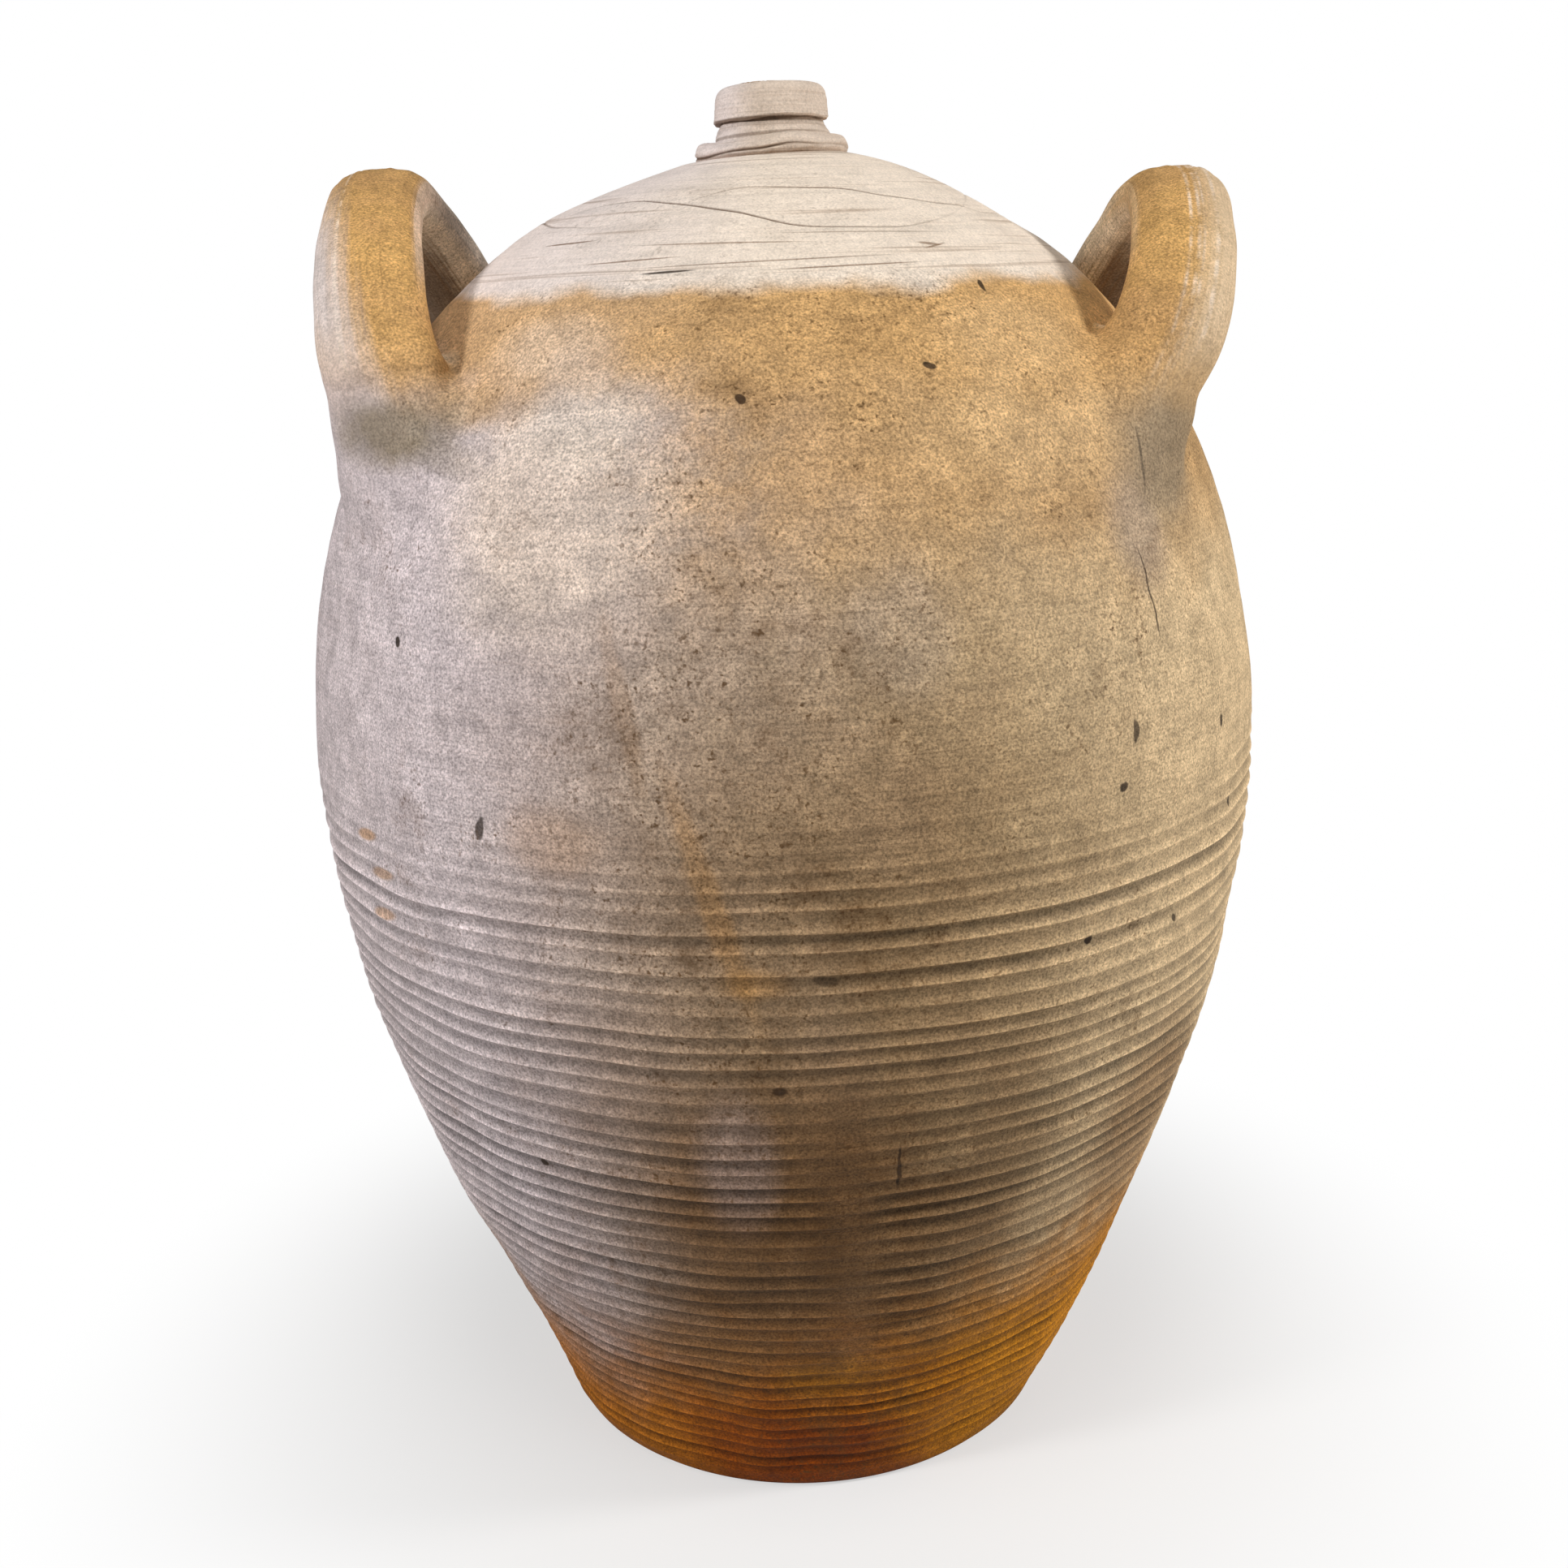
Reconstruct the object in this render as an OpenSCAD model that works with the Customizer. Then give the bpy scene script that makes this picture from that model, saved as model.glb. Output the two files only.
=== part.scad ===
// Salt-fired stoneware storage jar with a narrow corked neck and two upright strap handles.
// The jar stands on z = 0 with its axis on the Z axis. The front is towards -Y, the handles at -X and +X.
// All sizes are in millimetres and all angles in degrees.

/* [Thrown body] */
// Height from the ground to the seat that the neck stands on
body_h = 543; // [453:1:651]
// Diameter of the foot on the ground
foot_d = 222.8; // [186:0.2:267.4]
// Diameter of the belly, the widest place
belly_d = 397.4; // [331.2:0.2:476.8]
// Height of the belly above the ground
belly_z = 304; // [254:1:364]
// Thickness of the thrown wall
wall = 10; // [7:0.5:12]
// Thickness of the floor
floor_t = 14; // [10:0.5:18]
// Rounding of the foot's outer edge
foot_round = 3; // [1:0.5:5]
// Height of the join between the first and the second throwing
low_join_z = 158; // [120:1:190]
// Drop from the neck's seat to the join under the closed shoulder
high_join_drop = 217; // [185:1:230]

/* [Curve of the body] */
// Outward lean of the wall where it leaves the foot
foot_lean = 21; // [15:1:25]
// How far the wall keeps that lean, as a share of the belly's height
foot_pull = 0.24; // [0.15:0.01:0.35]
// How far the wall runs upright below the belly, as a share of the belly's height
low_pull = 0.38; // [0.3:0.01:0.45]
// How far the wall runs upright above the belly, as a share of the shoulder's height
high_pull = 0.85; // [0.7:0.01:0.9]
// Slope of the crown where it reaches the neck's seat
crown_slope = 15; // [8:1:25]
// How far the crown keeps that slope
crown_pull = 20; // [10:1:40]

/* [Neck] */
// Diameter of the bore that the cork goes into
bore_d = 25; // [20:0.5:30]
// Wall of the neck at its waist, under the lip
neck_wall = 8.8; // [6:0.2:11]
// How much thicker the neck's wall is at its foot
neck_spread = 1.5; // [0:0.5:3]
// Height of the neck from its seat to the lip
neck_h = 15; // [12:0.5:20]
// How far the neck stands off the jar's axis, to the right
neck_shift = 4; // [0:0.5:6]
// Breadth of the luted collar round the neck's foot
collar_w = 7.7; // [5:0.1:10]
// Height of the luted collar
collar_h = 8; // [5:0.5:9]
// How far the lip stands out past the neck's waist
lip_overhang = 1.8; // [1:0.2:4]
// Height of the lip
lip_h = 13; // [9:0.5:17]
// Rounding of the lip's top edge
lip_round = 4.5; // [2:0.5:6]
// Rounding of the mouth's inner edge
mouth_round = 1.2; // [0.5:0.1:2]

/* [Cork] */
// Length of the cork
cork_l = 25; // [18:0.5:26]
// How far the cork stands above the lip
cork_proud = 0.8; // [0:0.1:3]
// How much narrower the cork's radius is at its lower end
cork_taper = 0.8; // [0.2:0.1:2]
// Clearance between the cork's widest end and the bore, on the radius
cork_fit = 0.06; // [0.02:0.01:0.1]
// Chamfer round the cork's top
cork_chamfer = 0.6; // [0.3:0.1:1]

/* [Handles] */
// Breadth of the strap, across the palm
strap_b = 38.5; // [32:0.5:46.5]
// Thickness of the strap
strap_t = 23.5; // [19.5:0.5:28.5]
// Drop from the neck's seat to the level where the straps leave the shoulder
foot_drop = 75; // [62:1:90]
// Rise of the left strap's middle line above its feet
left_rise = 66; // [55:0.5:79.5]
// How much further out the left strap stands at the top than at its feet
left_out = 18.5; // [12:0.5:25]
// Outward lean of the left strap where it leaves the shoulder
left_lean = 22; // [15:1:28]
// How far the left strap's legs spread apart as they rise, as an angle
left_spread = 11; // [-5:1:15]
// Angle from the side to the left handle's front foot
left_front = 36; // [30:1:43]
// Angle from the side to the left handle's back foot
left_back = 39; // [32:1:46]
// Rise of the right strap's middle line above its feet
right_rise = 55.5; // [46:0.5:67]
// How much further out the right strap stands at the top than at its feet
right_out = 21; // [14:0.5:28]
// Outward lean of the right strap where it leaves the shoulder
right_lean = 35; // [28:1:40]
// How far the right strap's legs spread apart as they rise, as an angle
right_spread = -19; // [-24:1:5]
// Angle from the side to the right handle's front foot
right_front = 32; // [27:1:39]
// Angle from the side to the right handle's back foot
right_back = 31; // [26:1:38]

/* [Handle roots] */
// How far up the strap the luting clay reaches above the level of its foot
lute_up = 14; // [8:1:20]
// Thickness of the luting clay's edge on the strap
lute_edge = 1.5; // [1:0.1:3]
// How far the luting clay spreads to the strap's two flat sides
lute_spread = 14; // [8:0.5:18]
// How far the luting clay spreads to the strap's inner and outer edges
lute_edge_spread = 3; // [2:0.5:7]

/* [Hidden] */
$fn = 96;

// Steps along the body's two curves, along half a strap, and round a strap
low_steps = 18;
high_steps = 26;
arch_steps = 12;
root_steps = 5;
strap_sides = 16;
arc_steps = 8;

// Radii and heights that follow from the sizes above
foot_r = foot_d / 2;
belly_r = belly_d / 2;
bore_r = bore_d / 2;
neck_r = bore_r + neck_wall;
neck_foot_r = neck_r + neck_spread;
collar_r = neck_foot_r + collar_w;
lip_r = neck_r + lip_overhang;
seat_r = collar_r + neck_shift;
high_join_z = body_h - high_join_drop;

// The strap is a squarish oval, and its inner edge is this far into the wall at the level of the feet
strap_squareness = 0.8;
foot_bite = 1.5;
// The strap's end runs on down and into the body by these amounts, until all of it is inside
root_down = 60;
root_in = 42;
// How far the arch holds its direction at the top and at the feet
top_hold = 34;
foot_hold = 17;

// Colours of the fired clay in its zones
pale_clay = "#c9bba9";
grey_clay = "#a89b8d";
flashed_clay = "#a5713f";
tan_clay = "#b89468";
luted_clay = "#9c8f82";
cork_bark = "#b98d5e";

// Points of plane and space curves
function bezier(p, t) = (1-t)^3*p[0] + 3*(1-t)^2*t*p[1] + 3*(1-t)*t^2*p[2] + t^3*p[3];
function bezier_dir(p, t) = 3*(1-t)^2*(p[1]-p[0]) + 6*(1-t)*t*(p[2]-p[1]) + 3*t^2*(p[3]-p[2]);
function bezier_line(p, n, from = 0) = [for (i = [from:n]) bezier(p, i/n)];
function arc(c, r, a0, a1, n = arc_steps) = [for (i = [0:n]) let (a = a0 + (a1-a0)*i/n) c + r*[cos(a), sin(a)]];
function unit(v) = v / norm(v);
function signed_power(v, k) = sign(v) * abs(v)^k;

// The body's outline, as the two curves below and above the belly
low_curve = [
    [foot_r, 0],
    [foot_r, 0] + foot_pull*belly_z*[sin(foot_lean), cos(foot_lean)],
    [belly_r, belly_z*(1 - low_pull)],
    [belly_r, belly_z]
];
high_curve = [
    [belly_r, belly_z],
    [belly_r, belly_z + high_pull*(body_h - belly_z)],
    [seat_r, body_h] + crown_pull*[cos(crown_slope), -sin(crown_slope)],
    [seat_r, body_h]
];

// A point of a curve moved in from the outer face by d, square to the curve
function moved_in(curve, t, d) = let (v = unit(bezier_dir(curve, t))) bezier(curve, t) - d*[v.y, -v.x];
function outline(d) = concat(
    [for (i = [0:low_steps]) moved_in(low_curve, i/low_steps, d)],
    [for (i = [1:high_steps]) moved_in(high_curve, i/high_steps, d)]
);
outer_line = outline(0);
inner_line = outline(wall);
radius_by_height = [for (p = outer_line) [p.y, p.x]];
function wall_radius(z) = lookup(z, radius_by_height);

module body_outside() {
    foot_edge = arc([foot_r - foot_round, foot_round], foot_round, -90, 0);
    upper_line = [for (p = outer_line) if (p.y > foot_round) p];
    rotate_extrude() polygon(concat([[0, 0]], foot_edge, upper_line, [[0, body_h]]));
}

module body_hollow() {
    lowest = inner_line[0];
    highest = inner_line[len(inner_line) - 1];
    rotate_extrude() polygon(concat([[0, lowest.y]], inner_line, [[0, highest.y]]));
}

// The thrown wall between two heights, with the seams flat
module wall_between(z0, z1) {
    difference() {
        intersection() {
            body_outside();
            translate([0, 0, z0]) cylinder(r = belly_r + wall, h = z1 - z0);
        }
        body_hollow();
    }
}

module base_slab() {
    color(flashed_clay) intersection() {
        body_outside();
        cylinder(r = belly_r, h = floor_t);
    }
}

module lower_wall() {
    color(grey_clay) wall_between(floor_t, low_join_z);
}

module belly_wall() {
    color(grey_clay) wall_between(low_join_z, high_join_z);
}

module shoulder_dome() {
    color(pale_clay) difference() {
        wall_between(high_join_z, body_h);
        translate([neck_shift, 0, body_h - 2*wall]) cylinder(r = bore_r, h = 3*wall);
    }
}

// A ring turned about the neck's axis, from its outline in radius and height above the seat
module neck_turning(points) {
    translate([neck_shift, 0, body_h]) rotate_extrude() polygon(points);
}

module neck_collar() {
    bead_r = collar_h * 0.4;
    color(luted_clay) neck_turning(concat(
        [[neck_foot_r, 0]],
        arc([collar_r - bead_r, bead_r], bead_r, -90, 60),
        [[neck_foot_r, collar_h]]
    ));
}

module neck() {
    color(pale_clay) neck_turning([
        [bore_r, 0],
        [neck_foot_r, 0],
        [neck_foot_r, collar_h],
        [neck_r, neck_h],
        [bore_r, neck_h]
    ]);
}

module lip_ring() {
    batter = 1;
    color(pale_clay) translate([0, 0, neck_h]) neck_turning(concat(
        [[bore_r, 0], [lip_r, 0]],
        arc([lip_r - batter - lip_round, lip_h - lip_round], lip_round, 0, 90),
        arc([bore_r + mouth_round, lip_h - mouth_round], mouth_round, 90, 180)
    ));
}

module cork_stopper() {
    top_r = bore_r - cork_fit;
    top_z = neck_h + lip_h + cork_proud;
    shoulder_z = top_z - cork_chamfer - cork_proud - mouth_round;
    color(cork_bark) neck_turning([
        [0, top_z - cork_l],
        [top_r - cork_taper, top_z - cork_l],
        [top_r, shoulder_z],
        [top_r, top_z - cork_chamfer],
        [top_r - cork_chamfer, top_z],
        [0, top_z]
    ]);
}

// A handle's own sizes, in the order of these places
SIDE = 0;
RISE = 1;
OUT = 2;
LEAN = 3;
SPREAD = 4;
FRONT = 5;
BACK = 6;
LEFT = [-1, left_rise, left_out, left_lean, left_spread, left_front, left_back];
RIGHT = [1, right_rise, right_out, right_lean, right_spread, right_front, right_back];
up = [0, 0, 1];

// Where a strap's middle line passes the level of the feet; end is -1 at the front and 1 at the back
foot_z = body_h - foot_drop;
function foot_angle(h, end) = end < 0 ? h[FRONT] : h[BACK];
function outward(h, end) = [h[SIDE]*cos(foot_angle(h, end)), end*sin(foot_angle(h, end)), 0];
function foot(h, end) = (wall_radius(foot_z) + strap_b/2 - foot_bite)*outward(h, end) + foot_z*up;
function chord_dir(h) = let (v = foot(h, 1) - foot(h, -1)) unit([v.x, v.y, 0]);
function leg_dir(h, end) = [h[SIDE]*tan(h[LEAN]), end*tan(h[SPREAD]), 1];
function arch_top(h) = (foot(h, -1) + foot(h, 1))/2 + h[RISE]*up + h[SIDE]*h[OUT]*[1, 0, 0];

// The stretch of the middle line from its deep end inside the body to the foot
function root_line(h, end) =
    let (f = foot(h, end), dir = leg_dir(h, end), deep = f - root_in*outward(h, end) - root_down*up)
    bezier_line([deep, f - 0.5*root_down*dir, f - 0.25*root_down*dir, f], root_steps);
function half_arch(h, end) =
    let (f = foot(h, end), top = arch_top(h))
    bezier_line([f, f + foot_hold*leg_dir(h, end), top + end*top_hold*chord_dir(h), top], arch_steps, 1);
function reversed(list) = [for (i = [len(list)-1:-1:0]) list[i]];
function half_line(h, end) = concat(root_line(h, end), half_arch(h, end));
function strap_line(h) =
    let (back = reversed(half_line(h, 1)))
    concat(half_line(h, -1), [for (i = [1:len(back)-1]) back[i]]);

// One squarish oval section, square to the line at its point i
function line_dir(line, i) = unit(line[min(i+1, len(line)-1)] - line[max(i-1, 0)]);
function section(h, line, i, half_b, half_t) =
    let (
        t = line_dir(line, i),
        across = cross(up, chord_dir(h)) * -h[SIDE],
        b = unit(across - (across*t)*t),
        n = cross(t, b)
    )
    [for (k = [0:strap_sides-1]) let (a = 360*k/strap_sides)
        line[i]
        + half_b*signed_power(cos(a), strap_squareness)*b
        + half_t*signed_power(sin(a), strap_squareness)*n];

// A closed tube through rings of points
module tube(rings) {
    n = len(rings[0]);
    last = len(rings) - 1;
    points = [for (ring = rings) each ring];
    sides = [for (i = [0:last-1], k = [0:n-1]) let (a = i*n + k, b = i*n + (k+1)%n) [a, a+n, b+n, b]];
    caps = [[for (k = [0:n-1]) k], [for (k = [n-1:-1:0]) last*n + k]];
    triangles = [for (q = sides) each [[q[0], q[1], q[2]], [q[0], q[2], q[3]]]];
    polyhedron(points = points, faces = concat(triangles, caps), convexity = 8);
}

module strap(h) {
    line = strap_line(h);
    tube([for (i = [0:len(line)-1]) section(h, line, i, strap_b/2, strap_t/2)]);
}

module handle(h) {
    color(tan_clay) difference() {
        strap(h);
        body_outside();
    }
}

// How full the luting clay is at point i of a half line: 0 at its upper edge, 1 some way under the foot
function lute_fullness(line, i) = max(0, min(1, (foot_z + lute_up - line[i].z)/(2*lute_up)));

// Luting clay pressed round a strap's root, flaring from the strap to the wall
module lute(h, end) {
    line = half_line(h, end);
    kept = [for (i = [0:len(line)-1]) if (line[i].z < foot_z + lute_up) i];
    rings = [for (i = kept) let (full = lute_fullness(line, i)^1.5)
        section(
            h, line, i,
            strap_b/2 + lute_edge + full*lute_edge_spread,
            strap_t/2 + lute_edge + full*lute_spread
        )];
    color(luted_clay) difference() {
        tube(rings);
        strap(h);
        body_outside();
    }
}

module left_handle() {
    handle(LEFT);
}

module right_handle() {
    handle(RIGHT);
}

module left_front_lute() {
    lute(LEFT, -1);
}

module left_back_lute() {
    lute(LEFT, 1);
}

module right_front_lute() {
    lute(RIGHT, -1);
}

module right_back_lute() {
    lute(RIGHT, 1);
}

base_slab();
lower_wall();
belly_wall();
shoulder_dome();
neck_collar();
neck();
lip_ring();
cork_stopper();
left_handle();
right_handle();
left_front_lute();
left_back_lute();
right_front_lute();
right_back_lute();
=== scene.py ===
"""Salt-fired stoneware storage jar: its looks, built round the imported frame.

The jar stands at the origin with +Z up and its front towards -Y. All lengths are in metres. Each thrown,
pulled or luted piece of clay is a mesh of its own, which stands for one node of the frame.
"""

import logging
import math
from dataclasses import dataclass
from enum import Enum

import bpy
import numpy as np
from mathutils import Matrix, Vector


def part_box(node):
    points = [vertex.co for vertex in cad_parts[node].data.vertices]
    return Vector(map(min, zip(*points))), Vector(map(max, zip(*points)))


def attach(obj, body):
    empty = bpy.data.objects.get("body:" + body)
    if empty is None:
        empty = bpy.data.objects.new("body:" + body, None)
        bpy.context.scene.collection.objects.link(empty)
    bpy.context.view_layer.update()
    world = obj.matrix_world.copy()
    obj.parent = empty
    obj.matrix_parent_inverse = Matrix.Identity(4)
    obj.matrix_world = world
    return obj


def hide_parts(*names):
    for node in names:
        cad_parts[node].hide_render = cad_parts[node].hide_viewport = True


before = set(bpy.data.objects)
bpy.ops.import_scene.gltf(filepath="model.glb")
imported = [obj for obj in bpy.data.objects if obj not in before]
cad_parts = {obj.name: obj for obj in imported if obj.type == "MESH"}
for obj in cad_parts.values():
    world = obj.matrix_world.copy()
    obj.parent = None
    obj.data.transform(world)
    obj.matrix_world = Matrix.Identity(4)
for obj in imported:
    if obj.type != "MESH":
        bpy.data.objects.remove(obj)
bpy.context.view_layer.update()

MM = 0.001
TAU = 2 * math.pi
log = logging.getLogger("jar")


class Tone(Enum):
    """Colours of the fired clay, the cork and the stage, as sRGB hex values. MIDDLE, UMBER and DEEP_UMBER also serve as
    painted shade.
    """

    COOL = "#c7babb"
    WARM = "#ccb18a"
    MIDDLE = "#8b6d48"
    TAN = "#b9905d"
    PALE_TAN = "#d2ae7e"
    GOLD = "#c99f68"
    BARE = "#e8d9c8"
    LILAC = "#e3d7d7"
    NECK = "#d2c1b1"
    PINK = "#dcc8b6"
    ASH = "#9a8f88"
    SMOKE = "#857763"
    UMBER = "#725232"
    DEEP_UMBER = "#54391d"
    AMBER = "#96590f"
    OCHRE = "#ac7414"
    RED_BROWN = "#6c2802"
    RUST = "#b3803c"
    IRON = "#2c2119"
    STRAP_GOLD = "#cca062"
    STRAP_PALE = "#d4cccd"
    STRAP_BEIGE = "#d6be9e"
    STRAP_GREY = "#d4c4ac"
    CORK = "#b48a5c"
    CORK_DARK = "#5d3d22"
    STAGE = "#e8e6e3"

    @property
    def linear(self) -> tuple[float, float, float, float]:
        """The colour as linear red, green, blue and alpha."""
        parts = [int(self.value[i:i + 2], 16) / 255 for i in (1, 3, 5)]
        return (*[p / 12.92 if p <= 0.04045 else ((p + 0.055) / 1.055) ** 2.4 for p in parts], 1.0)


def smooth(x: np.ndarray, low: float, high: float) -> np.ndarray:
    """A smooth step from 0 at low to 1 at high, which may be the smaller of the two."""
    t = np.clip((np.asarray(x, float) - low) / (high - low), 0, 1)
    return t * t * (3 - 2 * t)


def bell(x: np.ndarray, breadth: float) -> np.ndarray:
    """A bell curve of height 1 with its shoulders at plus and minus breadth."""
    return np.exp(-((np.asarray(x, float) / breadth) ** 2))


def bezier(points: list, t: np.ndarray) -> np.ndarray:
    """Points of a cubic curve.

    Args:
        points: The four control points.
        t: Places along the curve, from 0 to 1.

    Returns:
        One point in each row.
    """
    p, t = np.asarray(points, float), np.asarray(t, float)[:, None]
    return (1 - t) ** 3 * p[0] + 3 * (1 - t) ** 2 * t * p[1] + 3 * (1 - t) * t * t * p[2] + t ** 3 * p[3]


def unit(v: np.ndarray) -> np.ndarray:
    """Vectors of length 1 along the last axis."""
    return v / np.maximum(np.linalg.norm(v, axis=-1, keepdims=True), 1e-12)


@dataclass(frozen=True)
class Unevenness:
    """Smooth random relief of unit strength that closes on itself round the jar.

    Attributes:
        breadth: Breadth of a typical lump.
        seed: Picks the pattern.
        stretch: How much longer a lump is round the jar than up it.
        radius: Radius at which the breadth holds.
        waves: How many waves are added up.
    """

    breadth: float
    seed: int
    stretch: float = 1.0
    radius: float = 0.18
    waves: int = 28

    def at(self, turn: np.ndarray, height: np.ndarray) -> np.ndarray:
        """The relief at these turns about the axis, in radians, and heights."""
        rng = np.random.default_rng(self.seed)
        total = np.zeros(np.broadcast(turn, height).shape)
        steepest = math.pi / self.breadth
        for _ in range(self.waves):
            around = round(rng.normal() * steepest * self.radius / self.stretch)
            up, phase = rng.normal() * steepest, rng.uniform(0, TAU)
            total = total + np.cos(around * turn + up * height + phase)
        return total * math.sqrt(2 / self.waves)


class Bench:
    """The modelling bench: blanks made with Blender's own operators, and what shapes and finishes them."""

    @staticmethod
    def clear_selection() -> None:
        """Leaves nothing selected."""
        bpy.ops.object.select_all(action="DESELECT")

    @staticmethod
    def named(name: str) -> bpy.types.Object:
        """Gives the new active object its name.

        Args:
            name: The piece's name.

        Returns:
            The object.
        """
        piece = bpy.context.object
        piece.name = piece.data.name = name
        return piece

    @staticmethod
    def places(piece: bpy.types.Object) -> np.ndarray:
        """The piece's vertices, one in each row."""
        co = np.empty(len(piece.data.vertices) * 3)
        piece.data.vertices.foreach_get("co", co)
        return co.reshape(-1, 3)

    @staticmethod
    def put(piece: bpy.types.Object, co: np.ndarray) -> None:
        """Moves the piece's vertices to these places."""
        piece.data.vertices.foreach_set("co", np.ascontiguousarray(co, float).ravel())
        piece.data.update()

    @staticmethod
    def mark(piece: bpy.types.Object, name: str, values: np.ndarray) -> None:
        """Stores a number or a vector at each vertex for the finish to read.

        Args:
            piece: The piece.
            name: The attribute's name.
            values: One number, or one row of three, for each vertex.
        """
        vector = values.ndim == 2
        attribute = piece.data.attributes.new(name, "FLOAT_VECTOR" if vector else "FLOAT", "POINT")
        attribute.data.foreach_set("vector" if vector else "value", values.astype(np.float32).ravel())

    @classmethod
    def turned(cls, name: str, outline: np.ndarray, steps: int, closed: bool = True) -> bpy.types.Object:
        """A blank turned about the Z axis, as on a wheel.

        Args:
            name: The piece's name.
            outline: Radius and height of each corner of the outline, in order.
            steps: How many steps go round the axis.
            closed: Whether the outline is a loop clear of the axis. Otherwise it starts and ends on the axis.

        Returns:
            The closed blank.
        """
        cls.clear_selection()
        bpy.ops.mesh.primitive_circle_add(vertices=len(outline), radius=1, fill_type="NOTHING")
        piece = cls.named(name)
        cls.put(piece, np.column_stack([outline[:, 0], np.zeros(len(outline)), outline[:, 1]]))
        if not closed:
            bpy.ops.object.mode_set(mode="EDIT")
            bpy.ops.mesh.select_mode(type="EDGE")
            bpy.ops.mesh.select_all(action="DESELECT")
            bpy.ops.object.mode_set(mode="OBJECT")
            for edge in piece.data.edges:
                edge.select = set(edge.vertices) == {0, len(outline) - 1}
            bpy.ops.object.mode_set(mode="EDIT")
            bpy.ops.mesh.delete(type="EDGE")
            bpy.ops.object.mode_set(mode="OBJECT")
        bpy.ops.object.modifier_add(type="SCREW")
        turning = piece.modifiers[-1]
        turning.axis, turning.angle = "Z", TAU
        turning.steps = turning.render_steps = steps
        turning.use_merge_vertices, turning.merge_threshold = True, 0.005 * MM
        bpy.ops.object.modifier_apply(modifier=turning.name)
        return piece

    @classmethod
    def rolled(cls, name: str, sides: int, rings: int) -> bpy.types.Object:
        """A straight rolled length of clay, of radius 1 and from height 0 to 1, cut into even rings.

        Args:
            name: The piece's name.
            sides: How many sides it has.
            rings: How many rings it is cut into, a multiple of 20.

        Returns:
            The closed blank.
        """
        cls.clear_selection()
        bpy.ops.mesh.primitive_cylinder_add(
            vertices=sides, radius=1, depth=1, end_fill_type="TRIFAN", location=(0, 0, 0.5))
        piece = cls.named(name)
        bpy.ops.object.transform_apply(location=True, rotation=True, scale=True)
        first_cuts = 20
        for cuts in (first_cuts - 1, rings // first_cuts - 1):
            bpy.ops.object.mode_set(mode="EDIT")
            bpy.ops.mesh.select_mode(type="EDGE")
            bpy.ops.mesh.select_all(action="DESELECT")
            bpy.ops.object.mode_set(mode="OBJECT")
            co = cls.places(piece)
            for edge in piece.data.edges:
                a, b = edge.vertices
                edge.select = abs(co[a][2] - co[b][2]) > MM
            bpy.ops.object.mode_set(mode="EDIT")
            bpy.ops.mesh.subdivide(number_cuts=cuts)
            bpy.ops.object.mode_set(mode="OBJECT")
        return piece

    @classmethod
    def coiled(cls, name: str, around: int, across: int) -> bpy.types.Object:
        """A coil of clay laid in a ring of radius 1, of radius a quarter.

        Args:
            name: The piece's name.
            around: How many steps go round the ring.
            across: How many steps go round the coil.

        Returns:
            The closed blank.
        """
        cls.clear_selection()
        bpy.ops.mesh.primitive_torus_add(
            major_segments=around, minor_segments=across, major_radius=1, minor_radius=0.25)
        return cls.named(name)

    @classmethod
    def finished(cls, piece: bpy.types.Object, sharpest: float = 42) -> bpy.types.Object:
        """Turns a piece's faces outwards and smooths it, keeping edges sharper than an angle.

        Args:
            piece: The piece, a closed mesh.
            sharpest: The angle in degrees above which an edge stays sharp.

        Returns:
            The same piece.
        """
        cls.clear_selection()
        piece.select_set(True)
        bpy.context.view_layer.objects.active = piece
        bpy.ops.object.mode_set(mode="EDIT")
        bpy.ops.mesh.select_all(action="SELECT")
        bpy.ops.mesh.normals_make_consistent(inside=False)
        bpy.ops.object.mode_set(mode="OBJECT")
        bpy.ops.object.shade_smooth_by_angle(angle=math.radians(sharpest))
        return piece


@dataclass(frozen=True)
class BodySizes:
    """The thrown body's own sizes. Those that the frame gives are read from it."""

    foot_r: float = 111.4 * MM
    foot_lean: float = 21.0
    foot_pull: float = 0.24
    low_pull: float = 0.38
    high_pull: float = 0.85
    belly_z: float = 304 * MM
    crown_slope: float = 15.0
    crown_pull: float = 20 * MM
    seat_r: float = 34.5 * MM
    wall: float = 10 * MM
    foot_round: float = 3 * MM
    belly_r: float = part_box("belly_wall")[1].x
    floor_z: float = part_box("lower_wall")[0].z
    low_join_z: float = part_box("belly_wall")[0].z
    high_join_z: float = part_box("shoulder_dome")[0].z
    seat_z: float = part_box("shoulder_dome")[1].z


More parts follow.
